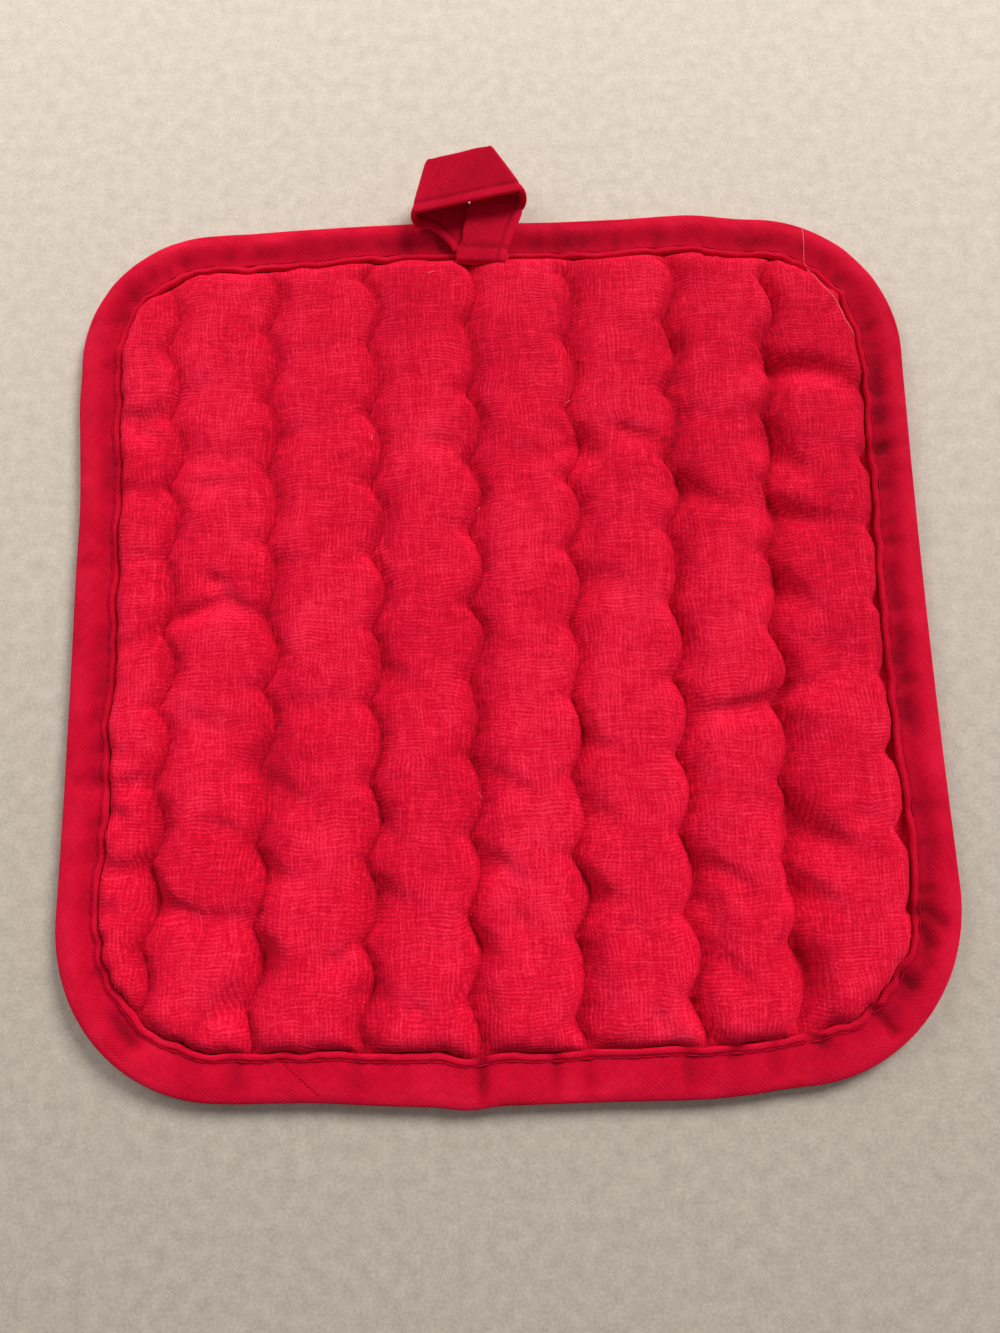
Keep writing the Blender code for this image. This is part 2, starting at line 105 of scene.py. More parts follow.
# The edge lifts a little off the surface: the side or corner, as signs of X and Y, and how high it lifts
EdgeLift = namedtuple("EdgeLift", "side_x side_y height")
EDGE_LIFTS = (
    EdgeLift(-1, -1, 1.6),
    EdgeLift(+1, -1, 0.9),
    EdgeLift(-1, +1, 0.6),
    EdgeLift(+1, +1, 0.5),
    EdgeLift(0, -1, 0.5),
    EdgeLift(-1, 0, 0.3),
)
LIFT_START = 62.0  # from here on along X or Y the edge lifts
LIFT_END = 102.0

# Stitch rows: X at Y +80, 0 and -80, and a Y where the row bulges to +X between two cusps
StitchRow = namedtuple("StitchRow", "upper middle lower bulge")
STITCH_ROWS = (
    StitchRow(-77.5, -76.8, -80.5, -8.5),
    StitchRow(-54.2, -53.6, -57.0, -5.0),
    StitchRow(-30.6, -29.7, -32.5, -9.0),
    StitchRow(-6.4, -7.3, -9.6, -4.0),
    StitchRow(17.4, 15.3, 13.5, -9.0),
    StitchRow(41.2, 38.4, 37.7, -5.0),
    StitchRow(64.8, 60.8, 60.0, -11.5),
    StitchRow(87.5, 85.0, 86.5, -5.5),
)
ROW_SPAN = 80.0
MEAN_BULGE = 2.0 / math.pi  # of a scallop
SCALLOP_LENGTH = 17.2
SCALLOP_DEPTH = 3.0
STITCH_PITCH = 3.1
SERRATION = 0.28  # how far the cloth bulges over a row between two needle holes
SCALLOP_CHANGE = Lumps(0.45, SCALLOP_LENGTH, SCALLOP_LENGTH, 33.5)  # the share by which their depths differ
ROW_WOBBLE = Lumps(0.45, 6.0, 6.0, 35.5)

# The needle holes of a row draw the cloth down: all along it, and more at each hole
Pinch = namedtuple("Pinch", "depth reach")
ROW_PINCH = Pinch(0.25, 0.9)
HOLE_PINCH = Pinch(0.2, 1.3)

# Heights above the surface that the pad lies on
GROOVE_HEIGHT = 4.95
GROOVE_LEAN = (-0.013, 0.014)  # how much the rows rise with each millimetre along X and along Y
GROOVE_CHANGE = Lumps(0.7, 13.0, 13.0, 31.5)
CROWN_HEIGHT = 8.5
LEAST_FACE_HEIGHT = 2.0
BACK_GROOVE = 0.7
BACK_GROOVE_END = 0.42  # how full the padding is where a groove of the underside ends
RIM_MIDDLE = 2.9
RIM_HALF_THICKNESS = 0.75

# How the padding rises beside a stitch row: how far off it is at its fullest, and how steeply it starts
Flank = namedtuple("Flank", "reach power")
RIGHT_FLANK = Flank(5.5, 2.6)
LEFT_FLANK = Flank(8.5, 2.1)
FLANK_CHANGE = Lumps(0.35, 15.0, 15.0, 39.5)  # the share by which a flank's reach changes
CALM_REACH = 6.5  # from here on the padding no longer follows the row's scallops

# How the quilted face rises from the binding's lip: where it is at its full height, and how steeply it starts
CROWN_REACH_SIDE = 5.0
CROWN_REACH_END = 7.5
CROWN_POWER = 3.0
CROWN_ROUNDING = 0.6
END_BLEND = 8.0  # this far each side of a corner's diagonal, the sides' reach has become the ends'
NEAR_LIP = 24.0  # only points closer to the outline than this can be so near the lip

# Distances in from the outline
RIM_INSET = 1.65
BELLY_START = 14.0
BELLY_FULL = 22.5

# Unevenness of the quilted face, from broad to fine
FACE_LUMPS = (
    Lumps(0.40, 18.0, 18.0, 2.5),
    Lumps(0.26, 8.0, 6.0, 7.5),
    Lumps(0.10, 4.2, 2.6, 11.5),
)

# Grids of the pad's two faces: how far apart their points are, and how far they reach before they are cut off
FRONT_CELL = SCALLOP_LENGTH / 20
BACK_CELL = SCALLOP_LENGTH / 10
GRID_REACH = 104.0

# A trough through some points, with its depth and its half width
Crease = namedtuple("Crease", "depth half_width points")


def creases(*rows):
    """Creases from rows that each hold a depth, a half width and the points."""
    return [Crease(depth, half_width, points) for depth, half_width, *points in rows]


# Creases of the quilted face, from the left to the right
CREASES = creases(
    # left strip
    (0.7, 1.4, (-88, 53), (-82, 51), (-76, 53)),
    (1.2, 1.5, (-85, 48.5), (-79, 47), (-75, 43)),
    (1.0, 1.5, (-88, 33), (-83, 34), (-79, 33), (-75, 27)),
    (0.9, 1.5, (-84, 17.5), (-79, 18)),
    (1.0, 1.5, (-78, 15), (-75.5, 9), (-74, 5)),
    (0.7, 1.4, (-85, -3), (-79, -2)),
    (0.7, 1.5, (-87, -27), (-82, -28)),
    (1.5, 1.5, (-84, -35), (-79, -33), (-74.5, -29)),
    (1.3, 1.5, (-88, -39), (-84, -41), (-81, -43.5)),
    (1.2, 1.7, (-75.5, -38), (-75, -43), (-77.5, -49)),
    (1.2, 1.5, (-88, -51), (-83, -52.5), (-79, -54)),
    (0.9, 1.4, (-87, -60.5), (-82, -61)),
    (1.2, 1.5, (-76.5, -59), (-77, -64), (-80.5, -67.5)),
    (0.9, 1.5, (-80, -70), (-78, -75), (-79, -81)),
    # first gap from the left
    (1.1, 1.5, (-87, 51), (-80, 51.5), (-75, 54.5), (-68, 59), (-62, 62)),
    (0.6, 1.5, (-70, 41), (-57, 41)),
    (0.7, 1.5, (-70, 34), (-58, 34)),
    (1.7, 1.3, (-75, 2.5), (-67, 5), (-61, 7.2), (-57, 4.5), (-54, 0.5)),
    (1.2, 1.2, (-66, 12.3), (-60, 9.8)),
    (0.9, 2.4, (-70, -20), (-62, -22.5), (-54, -22)),
    (1.3, 1.7, (-58, -31), (-54, -28.5), (-51.5, -25)),
    (1.0, 1.8, (-64, -43.5), (-58, -45.5), (-54, -47)),
    (2.2, 1.7, (-79, -51.5), (-77, -57), (-73, -60), (-66, -63), (-57, -63)),
    (1.4, 1.8, (-56, -61), (-55.5, -66), (-52, -70.5)),
    (2.4, 1.7, (-51.5, -72), (-55, -77), (-59, -80.5), (-62.5, -84), (-63.5, -88)),
    (1.3, 1.3, (-59, -80.5), (-56.5, -85), (-56, -90)),
    (0.9, 1.8, (-78, -85), (-72, -87)),
    # second gap
    (0.9, 1.6, (-52, 59), (-48, 64), (-44, 67)),
    (0.9, 1.6, (-51.5, 43.5), (-47, 46.5), (-42, 48)),
    (0.8, 1.8, (-50, 16), (-44, 15)),
    (0.9, 2.4, (-49, -17.5), (-38, -17.5), (-31, -17)),
    (1.2, 1.8, (-52, -33), (-46, -38), (-42, -41.5)),
    (2.0, 1.8, (-54, -50), (-50, -54.5), (-46, -55)),
    (1.4, 1.6, (-52, -69), (-49, -72)),
    (1.2, 1.5, (-38, -73.5), (-33, -70.5)),
    (1.4, 1.6, (-31, -79), (-33, -84), (-32.5, -90)),
    # third gap
    (0.9, 1.5, (-16, 44), (-8, 42.3)),
    (0.9, 1.3, (-28, -7.5), (-19.5, -14.5)),
    (1.0, 1.7, (-29, -42), (-25, -47), (-22, -49)),
    (1.8, 2.4, (-29, -57.5), (-24, -60.5), (-20, -62)),
    (1.0, 1.8, (-30, -78), (-26, -81), (-21, -80)),
    (1.0, 1.6, (-20, -82), (-18, -88)),
    # fourth gap
    (0.9, 2.2, (4, 40), (12, 39)),
    (0.6, 3.0, (2, 55), (10, 54)),
    (1.0, 1.8, (-4, -33), (3, -37), (7, -39.5)),
    (1.5, 1.8, (-5, -51), (-1, -54), (2, -58)),
    (1.4, 2.0, (-6, -69), (-5, -74)),
    (1.2, 2.0, (-7, -79), (-5, -84), (-5, -90)),
    (1.0, 1.8, (1, -64), (6, -70)),
    # fifth gap
    (1.6, 1.6, (28, 45.5), (34, 43.3), (41, 40.5)),
    (2.8, 2.4, (17.5, 44.5), (21, 40.5), (26, 39)),
    (1.2, 2.4, (20, 10), (30, 7.5)),
    (1.2, 1.7, (17, -25), (20, -28.5), (27, -29.8)),
    (0.9, 1.8, (20, -42), (25, -48)),
    (1.6, 1.8, (15, -56), (19, -60.5), (25, -62)),
    (0.9, 2.0, (25, -66), (29, -72)),
    (1.4, 2.2, (16, -70), (18, -77), (20, -82)),
    (1.2, 1.5, (17, -83), (14, -87), (9, -90)),
    (1.0, 1.8, (30, -85), (33, -90)),
    # sixth gap
    (1.4, 2.0, (41, 67), (46, 64.5)),
    (1.0, 2.4, (42, 57), (46, 53)),
    (1.0, 2.0, (44, 49.5), (52, 48)),
    (2.0, 1.7, (40, 33), (46, 30), (54, 24.5)),
    (0.9, 2.0, (41, -33), (44, -37)),
    (1.5, 1.5, (40, -53), (45, -55.5), (50, -58.5), (53, -62.5)),
    (2.2, 2.8, (41, -61), (43, -69), (45, -76)),
    (1.0, 1.6, (45, -74), (50, -81)),
    (1.2, 2.2, (40, -82), (42, -89)),
    # seventh gap
    (3.0, 1.8, (62.5, 61.5), (70, 60), (77, 59.3), (82, 57), (85, 50)),
    (2.8, 2.4, (62, 46), (65, 40.5), (69, 35.5), (74, 31.5)),
    (0.8, 1.8, (75, 40.5), (83, 38)),
    (3.2, 2.1, (61, 27.5), (67, 24.5), (72, 22), (79, 20.8)),
    (2.8, 2.2, (61, 9.5), (66, 5), (70, 1.5)),
    (1.0, 3.0, (68, -8), (75, -8.5), (82, -8)),
    (2.0, 1.5, (46, -22.2), (57, -20.3), (62, -18), (70, -15.8), (80, -10.3)),
    (1.0, 2.6, (63, -24), (68, -27)),
    (3.8, 2.4, (61, -43), (66, -47.5), (71, -51), (76, -52.5)),
    (0.8, 1.5, (75, -45.5), (82, -46.5)),
    (3.6, 2.0, (60.5, -58.5), (65, -61.5), (69, -63.5)),
    (2.4, 2.6, (62, -73), (63.5, -80), (65, -86)),
)
CREASE_STRENGTH = 1.4
CREASE_STEEP = 1.15  # how much wider than stated a crease is on its steep side
CREASE_GENTLE = 2.5  # and on its gentle side
STEEP_SIDE = (0.55, 0.83)  # the way from a crease to its steep side
CREASE_SHOULDER = 0.06
CREASE_START = 0.15  # the share of its length over which a crease sets in
CREASE_FADING = 0.8  # the share of its depth that a crease loses on its way
CREASE_ON_ROW = 0.65  # the share of its depth that a crease keeps on a stitch row
CREASE_REACH = 5.0  # a crease no longer shows this many half widths away
CREASE_CELL = 10.0  # a square of the coarse grid that says which creases are near

# Short creases from the cusps of the stitch rows, each drawn at random between these values
CUSP_CREASE_SEED = 11
CUSP_CREASE_ANGLES = (-40.0, 40.0)
CUSP_CREASE_LENGTHS = (2.5, 6.5)
CUSP_CREASE_DEPTHS = (0.1, 0.5)
CUSP_CREASE_HALF_WIDTHS = (1.0, 1.6)

# Binding: how wide its lip is on each side, and how its outside swells and ripples
LIP_WIDTHS = {"left": 10.5, "right": 10.9, "upper": 11.3, "lower": 10.7}
LIP_WAVES = (Lumps(0.8, 11.0, 11.0, 0.5), Lumps(0.9, 5.0, 5.0, 37.5))
TAPE_SWELL = Lumps(0.25, 16.0, 16.0, 1.5)
TAPE_RIPPLES = (Lumps(0.36, 5.0, 5.0, 23.5), Lumps(0.16, 2.4, 2.4, 25.5))
FULL_RELIEF = 1.3  # from this far over the rim's middle, the tape has all of its unevenness
UNDERSIDE_RELIEF = 0.5  # the share of its unevenness that the binding keeps where it lies on the surface
LEAST_HEIGHT = 1.25  # the tape's outside is never pressed in further than this

# Dimples of the binding: irregular hollows outside its stitching, and how strong they are on each side
DIMPLES = {"left": 0.6, "right": 1.0, "upper": 0.72, "lower": 0.3}
DIMPLE_SHARES = {"left": 0.74, "right": 0.68, "upper": 0.62, "lower": 0.62}  # how far in they lie
DIMPLE_REACH = 0.22  # and how wide their band is, each as a share of the lip's width
DIMPLE_DEPTH = 0.8
DIMPLE_BAND = 0.45  # how far the whole band outside the stitching has sunk
DIMPLE_LENGTH = 4.4
DIMPLE_LAYER = 21.5
DIMPLE_CHANGE = 1.4  # how much the dimples change across the tape
DIMPLE_RANGE = (-0.3, 0.5)  # the noise's value where a dimple starts and where it is deepest

# How much painted shade darkens the tape in its dimples, in its puckers and in the groove along its stitching
DIMPLE_SHADE = 0.82
PUCKER_SHADE = 0.5
STITCH_SHADE = 0.25
STITCH_SHADE_REACH = 0.05

# How much lower the tape's outer part lies, and between which shares of the lip's width this ends
OUTER_DROP = {"left": 0.02, "right": 0.0, "upper": 0.0, "lower": 0.34}
OUTER_PART = (0.3, 0.95)

# Folds pressed into the tape of the lower corners
TAPE_FOLDS = creases(
    (1.3, 1.1, (87, -66.5), (90, -65), (93.5, -69)),
    (1.4, 1.4, (89, -69.5), (90, -73)),
    (1.6, 1.2, (75, -84.5), (78, -87), (80.5, -90.5)),
    (1.3, 1.3, (83, -79), (85.5, -81)),
    (1.4, 1.3, (63, -90.5), (65.5, -92.5)),
    (1.1, 1.4, (48, -91.5), (46, -94)),
    (1.0, 1.5, (-84, -83), (-80, -88)),
)
TAPE_JOIN = ((-49.5, -92.0), (-40.0, -100.5))
JOIN_DEPTH = 0.25
JOIN_HALF_WIDTH = 0.4

# The folded tape seen in section, as a share of the lip's width and a height from the rim's middle
SECTION_STEPS = 4
SectionPoint = namedtuple("SectionPoint", "inward height")
BINDING_OUTSIDE = (
    SectionPoint(1.0, 2.0),
    SectionPoint(0.97, 2.6),
    SectionPoint(0.90, 2.5),
    SectionPoint(0.84, 2.0),
    SectionPoint(0.72, 2.1),
    SectionPoint(0.55, 2.55),
    SectionPoint(0.38, 2.65),
    SectionPoint(0.23, 2.1),
    SectionPoint(0.11, 1.4),
    SectionPoint(0.03, 0.65),
)
BINDING_INSIDE = (
    SectionPoint(0.115, 0.78),
    SectionPoint(0.2, 1.05),
    SectionPoint(0.5, 1.1),
    SectionPoint(0.84, 1.0),
    SectionPoint(0.985, 1.2),
)

# Puckers across the binding: a place along its side, the depth, and how far it reaches each way
Pucker = namedtuple("Pucker", "side along depth reach")
PUCKERS = (
    Pucker("lower", -6.5, 1.5, 1.3),
    Pucker("lower", 9, 0.9, 1.3),
    Pucker("lower", 16, 0.8, 1.4),
    Pucker("lower", 37, 0.7, 1.8),
    Pucker("lower", -33, 0.6, 1.6),
    Pucker("lower", -58, 0.5, 1.8),
    Pucker("lower", 55, 0.5, 1.6),
    Pucker("upper", 17, 0.5, 1.7),
    Pucker("upper", 41, 0.45, 1.8),
    Pucker("upper", 63, 0.35, 1.6),
    Pucker("left", 17, 0.4, 1.7),
    Pucker("left", -33, 0.5, 1.8),
    Pucker("right", 40, 0.45, 1.8),
    Pucker("right", -44, 0.4, 1.8),
)
PUCKER_START = 0.4  # the share of the lip's width by which a pucker is at its full depth

# Hanging loop: rungs across the tape from its stitched edge to its plain edge. A turn is a half turn from the
# rung before it to its own, which lies above or below that one.
TAPE_WIDTH = 14.0
TAPE_THICKNESS = 1.1
Rung = namedtuple("Rung", "turn stitched_edge plain_edge")
LOOP_RUNGS = (
    Rung(False, (4.9, 91.0, 6.3), (-7.2, 91.5, 6.3)),
    Rung(False, (4.2, 89.2, 6.3), (-7.9, 90.0, 6.3)),
    Rung(True, (4.2, 89.2, 7.75), (-7.9, 90.0, 7.75)),
    Rung(False, (4.7, 91.4, 7.8), (-7.6, 92.2, 8.0)),
    Rung(False, (5.1, 92.9, 7.8), (-6.4, 94.2, 8.2)),
    Rung(False, (6.1, 95.8, 7.6), (-5.9, 98.0, 8.3)),
    Rung(False, (7.4, 99.2, 7.2), (-4.4, 103.6, 8.2)),
    Rung(False, (8.3, 101.7, 6.8), (-2.0, 110.0, 7.3)),
    Rung(False, (8.5, 103.1, 6.7), (0.4, 116.0, 6.7)),
    Rung(True, (7.8, 103.9, 12.7), (0.4, 116.0, 12.7)),
    Rung(False, (2.6, 102.9, 12.8), (-2.6, 115.6, 12.7)),
    Rung(False, (-4.8, 101.4, 12.8), (-6.4, 114.7, 12.6)),
    Rung(False, (-12.0, 99.9, 12.7), (-10.2, 113.9, 12.6)),
    Rung(False, (-16.9, 99.1, 12.6), (-13.0, 113.2, 12.6)),
    Rung(True, (-16.9, 99.1, 6.7), (-13.0, 113.2, 6.7)),
    Rung(False, (-14.0, 98.6, 6.7), (-8.6, 109.6, 6.6)),
    Rung(False, (-11.3, 96.4, 6.7), (-4.6, 105.4, 6.6)),
    Rung(False, (-9.3, 94.0, 6.7), (-1.6, 101.6, 6.6)),
    Rung(False, (-8.4, 92.2, 6.6), (0.2, 98.6, 6.6)),
)
RUNGS_PER_TURN = 18
RUNG_SPACING = 0.8
# The loop's section: the share of the way across, and the share of the tape's thickness there
TAPE_SECTION = (
    (0.0, 0.35),
    (0.015, 0.75),
    (0.05, 1.0),
    (0.11, 1.0),
    (0.155, 0.78),
    (0.175, 0.62),
    (0.195, 0.78),
    (0.24, 1.0),
    (0.33, 1.0),
    (0.42, 1.0),
    (0.51, 0.98),
    (0.60, 0.98),
    (0.69, 1.0),
    (0.78, 1.0),
    (0.87, 1.0),
    (0.94, 1.0),
    (0.985, 0.8),
    (1.0, 0.35),
)
HEM_SEAM = 6.6  # where the tape's turned-under end is sewn down, along the tape
HEM_SEAM_REACH = 0.5
HEM_DEPTH = 0.5
TURN_BULGE = 0.45
TAPE_LUMPS = Lumps(0.16, 6.0, 6.0, 4.5)
PLAIN_EDGE = 0.3  # up to this share of its thickness, the tape's edges have no lumps

# How light the loop is: a painted highlight from its stitched edge to its seam and on its hem, and painted
# shade in both seams
LOOP_TONE = 0.7
LOOP_SEAM_SHARE = 0.175
LOOP_SEAM_REACH = 0.04
LIP_HIGHLIGHT = 0.25
LIP_HIGHLIGHT_FADE = 0.12
HEM_HIGHLIGHT = 0.2
HEM_HIGHLIGHT_FADE = 1.0
MOST_TONE = 1.1
SEAM_SHADE = 0.5

# Stitches: lifts are in radii of the thread
THREAD_RADIUS = 0.17
HOLE_GAP = 0.35  # from a needle hole to where the thread shows
FRONT_LIFT = 0.6
BACK_LIFT = 0.3
PAST_LIP = 0.6  # how far inside the binding's lip the stitch rows end
STITCH_SHARE = 0.84  # where the binding's stitching runs, as a share of the lip's width
STITCH_HEIGHT = 2.0  # and how far over and under the rim's middle
BINDING_STITCH_GAP = 0.55
BINDING_STITCH_LIFT = 0.7
JOIN_STITCH = 0.8
JOIN_STITCH_SHARE = 0.6  # the share of its pitch that a stitch of the join covers

# Lint: a long fibre through these places, and short ones, each with its place and the angle it lies at
LONG_FIBRE = ((77, 97), (76.6, 91), (77, 85.5), (79.5, 79.5), (82.5, 75), (84.3, 70.5), (86, 67))
FIBRE_STEPS = 6
SHORT_FIBRES = (
    (-14.0, 86.0, 20.0),
    (-28.5, 45.0, 80.0),
    (-4.0, 27.5, 60.0),
    (-5.5, -38.5, 120.0),
    (17.5, 53.0, 40.0),
)
FIBRE_LENGTH = 1.5
FIBRE_RADIUS = 0.05
FIBRE_LIFT = 0.12
FIBRE_STRETCH = 1.15  # each piece of a fibre ends at this share of its way, and starts as much before it

MERGE_DISTANCE = 0.001  # points nearer to each other than this are one

# A cloth's colours, how far its threads wander, how much painted shade darkens its hollows and painted light
# lightens what stands over its usual relief, how far apart its threads are, and how much they and their slubs
# show
Cloth = namedtuple("Cloth", "dark middle light wander hollow usual spacing contrast slubs")
PAD_CLOTH = Cloth(
    dark=(0.34, 0.002, 0.013, 1.0),
    middle=(0.80, 0.005, 0.040, 1.0),
    light=(1.0, 0.034, 0.106, 1.0),
    wander=0.5,
    hollow=0.23,
    usual=0.8,
    spacing=0.83,
    contrast=0.25,
    slubs=0.62,
)
TAPE_CLOTH = Cloth(
    dark=(0.20, 0.001, 0.008, 1.0),
    middle=(0.66, 0.003, 0.033, 1.0),
    light=(0.90, 0.016, 0.066, 1.0),
    wander=0.2,
    hollow=0.50,
    usual=0.84,
    spacing=0.7,
    contrast=0.06,
    slubs=0.22,
)
TAPE_BIAS = 45.0  # degrees between the tape's length and its threads
LIGHT_STOP = 0.86  # the tone at which a cloth has its lightest colour
THREAD_COLOUR = (0.50, 0.002, 0.020, 1.0)
LINT_COLOUR = (0.95, 0.30, 0.34, 1.0)

# What the threads and the lint share, and what a cloth has besides
THREAD_SHADER = {"Roughness": 0.9, "Specular IOR Level": 0.06}
COTTON_SHADER = {
    **THREAD_SHADER,
    "Diffuse Roughness": 1.0,
    "Sheen Weight": 0.04,
    "Sheen Roughness": 0.5,
    "Sheen Tint": (1.0, 0.12, 0.2, 1.0),
}

# Weave: noise scales along X, Y and Z to the millimetre, and how much of each is seen
WANDER_SCALE = 0.09
WANDER_REACH = 8.0
WARP_CLOSENESS = 0.9  # warp threads to each weft thread
WARP_SLUBS = (0.9, 0.14, 1.0)
WEFT_SLUBS = (0.16, 1.3, 1.0)
FUZZ = (2.7, 2.7, 2.7)
FUZZ_GAIN = 2.0
PATCHES = (0.13, 0.13, 0.13)
PATCH_GAIN = 1.6  # how much clearer one set of threads is in a patch
CLEAR_FROM = 0.22  # threads thinner than this don't show
SLUB_HEIGHT = 0.8
WEAVE_TONE = 0.75
FADING_SCALE = 0.06
FADING_TONE = 0.5
THREAD_HEIGHT = 0.12
THREAD_BUMP = 0.4

# Floor
FLOOR_SIZE = 2.0
FLOOR_SHADER = {"Roughness": 0.95}
FLOOR_DARK = (0.32, 0.28, 0.235, 1.0)
FLOOR_LIGHT = (0.80, 0.715, 0.62, 1.0)
FLOOR_MOTTLES = ((300.0, 0.42), (1500.0, 0.5))  # a noise scale to the metre, and how much of it is seen
FLOOR_SHADE_RISE = 1.1  # painted shade: by how much its tone rises with each metre away from the near edge
FLOOR_TONE = 0.02

# Lights, all pointing at a target, and the light of the room
Lamp = namedtuple("Lamp", "name place target size power")
LAMPS = (
    Lamp("window", (0.74, 0.88, 1.02), (0.0, 0.0, 0.0), 0.62, 21.5),
    Lamp("far_window", (-0.48, 0.45, 0.50), (-0.1, 0.05, 0.0), 0.5, 2.6),
)
LAMP_COLOUR = (1.0, 0.98, 0.95)
ROOM_COLOUR = (1.0, 0.98, 0.96, 1.0)
ROOM_STRENGTH = 0.26

# Camera: lens and sensor in millimetres, place in metres and angles in radians
LENS = 27.05
SENSOR = 36.0
NEAREST_SEEN = 0.01
CAMERA_PLACE = (-0.000307, -0.050877, 0.226984)
CAMERA_TILT = 0.183015
CAMERA_ROLL = 0.030344


def smooth_step(low, high, value):
    """0 up to the low value and 1 from the high one on, with a smooth rise between them."""
    share = min(max((value - low) / (high - low), 0.0), 1.0)
    return share * share * (3.0 - 2.0 * share)


def hump(distance, reach):
    """1 in the middle of a small wave, and near 0 from twice its reach on."""
    return math.exp(-((distance / reach) ** 2))


def lumps_at(lumps, x, y):
    """How high a smooth unevenness is at a point, between about plus and minus its own height."""
    return lumps.height * noise.noise(Vector((x / lumps.length_x, y / lumps.length_y, lumps.layer)))


# ---------------------------------------------------------------- outline

# A place on the outline, the way out from it, its side and how far along that it is
Station = namedtuple("Station", "x y out_x out_y side along")


def bowed(x, y):
    """A point of the plain rounded rectangle, moved by the bow of its sides and ends."""
    across = SIDE_DRAW_IN * (1.0 - (y / HALF_LENGTH) ** 2)
    along = END_BOW * (1.0 - (x / HALF_WIDTH) ** 2)
    bowed_x = x - math.copysign(across, x) * abs(x) / HALF_WIDTH
    bowed_y = y + math.copysign(along, y) * abs(y) / HALF_LENGTH
    return bowed_x, bowed_y


def wave_of(side, along):
    """How far the small waves of a side move its outline out at a place."""
    waves = [wave for wave in EDGE_WAVES if wave.side == side]
    return sum(wave.outward * hump(along - wave.along, wave.reach) for wave in waves)


def corner_stations(corner):
    """Stations round one corner, both ends of its arc included."""
    centre_x = corner.side_x * (HALF_WIDTH - corner.radius)
    centre_y = corner.side_y * (HALF_LENGTH - corner.radius)
    for step in range(CORNER_STEPS + 1):
        angle = math.radians(corner.first_angle + 90.0 * step / CORNER_STEPS)
        out_x, out_y = math.cos(angle), math.sin(angle)
        x, y = bowed(centre_x + corner.radius * out_x, centre_y + corner.radius * out_y)
        yield Station(x, y, out_x, out_y, None, 0.0)


def side_stations(start, end, side):
    """Stations between two corners, on the straight run that the bow and the small waves then bend."""
    for step in range(1, SIDE_STEPS):
        share = step / SIDE_STEPS
        x, y = bowed(start[0] + (end[0] - start[0]) * share, start[1] + (end[1] - start[1]) * share)
        out_x = {"left": -1.0, "right": 1.0}.get(side, 0.0)
        out_y = {"lower": -1.0, "upper": 1.0}.get(side, 0.0)
        along = x if out_y else y
        wave = wave_of(side, along) * smooth_step(0.0, WAVE_FADE, share)
        wave *= smooth_step(0.0, WAVE_FADE, 1.0 - share)
        yield Station(x + out_x * wave, y + out_y * wave, out_x, out_y, side, along)


def side_end(corner, angle):
    """Where a corner's arc meets a straight side of the plain rounded rectangle."""
    x = corner.side_x * (HALF_WIDTH - corner.radius) + corner.radius * math.cos(math.radians(angle))
    y = corner.side_y * (HALF_LENGTH - corner.radius) + corner.radius * math.sin(math.radians(angle))
    return x, y


def outline_stations():
    """Once round the outline, anticlockwise from the lower right corner."""
    stations = []
    for corner, next_corner in zip(CORNERS, CORNERS[1:] + CORNERS[:1]):
        stations += corner_stations(corner)
        start = side_end(corner, corner.first_angle + 90)
        end = side_end(next_corner, next_corner.first_angle)
        stations += side_stations(start, end, corner.next_side)
    return stations


def corner_radius(x, y):
    """The radius of the corner in a point's quarter of the outline."""
    for corner in CORNERS:
        if (x >= 0) == (corner.side_x > 0) and (y >= 0) == (corner.side_y > 0):
            return corner.radius
    return CORNERS[0].radius


def distance_in(x, y):
    """How far a point lies inside the outline."""
    radius = corner_radius(x, y)
    half_width = HALF_WIDTH - SIDE_DRAW_IN * (1.0 - (y / HALF_LENGTH) ** 2)
    half_length = HALF_LENGTH + END_BOW * (1.0 - (x / HALF_WIDTH) ** 2)
    past_x = abs(x) - half_width + radius
    past_y = abs(y) - half_length + radius
    beyond = math.hypot(max(past_x, 0.0), max(past_y, 0.0)) + min(max(past_x, past_y), 0.0)
    return radius - beyond


def edge_lift(x, y):
    """How far the edge has lifted off the surface at a point."""
    lift = 0.0
    for corner in EDGE_LIFTS:
        toward_x = smooth_step(LIFT_START, LIFT_END, corner.side_x * x) if corner.side_x else 1.0
        toward_y = smooth_step(LIFT_START, LIFT_END, corner.side_y * y) if corner.side_y else 1.0
        lift += corner.height * toward_x * toward_y
    return lift


def by_side(values, station):
    """A value that each side has for itself, blended round the corners."""
    across = values["right" if station.out_x > 0 else "left"]
    along = values["upper" if station.out_y > 0 else "lower"]
    return across * station.out_x**2 + along * station.out_y**2


def lip_width(station):
    """How far in the tape reaches at a place on the outline."""
    width = by_side(LIP_WIDTHS, station)
    for wave in LIP_WAVES:
        width += lumps_at(wave, station.x, station.y)
    return width


def inside_of(station, inward):
    """The place that lies this far in from a station."""
    return station.x - station.out_x * inward, station.y - station.out_y * inward


# The outline is the same for every piece, so it is worked out once
STATIONS = outline_stations()


def station_tree():
    """All stations, by place."""
    tree = kdtree.KDTree(len(STATIONS))
    for index, station in enumerate(STATIONS):
        tree.insert((station.x, station.y, 0.0), index)
    tree.balance()
    return tree


STATION_TREE = station_tree()


def past_lip(x, y):
    """How far inside the binding's lip a point lies, between the two stations nearest to it."""
    beside = []
    for _, index, _ in STATION_TREE.find_n((x, y, 0.0), 2):
        station = STATIONS[index]
        inward = (station.x - x) * station.out_x + (station.y - y) * station.out_y
        aside = abs((station.x - x) * station.out_y - (station.y - y) * station.out_x)
        beside.append((aside, inward - lip_width(station)))
    (first_aside, first), (second_aside, second) = beside
    share = first_aside / max(first_aside + second_aside, MERGE_DISTANCE)
    return first + (second - first) * share


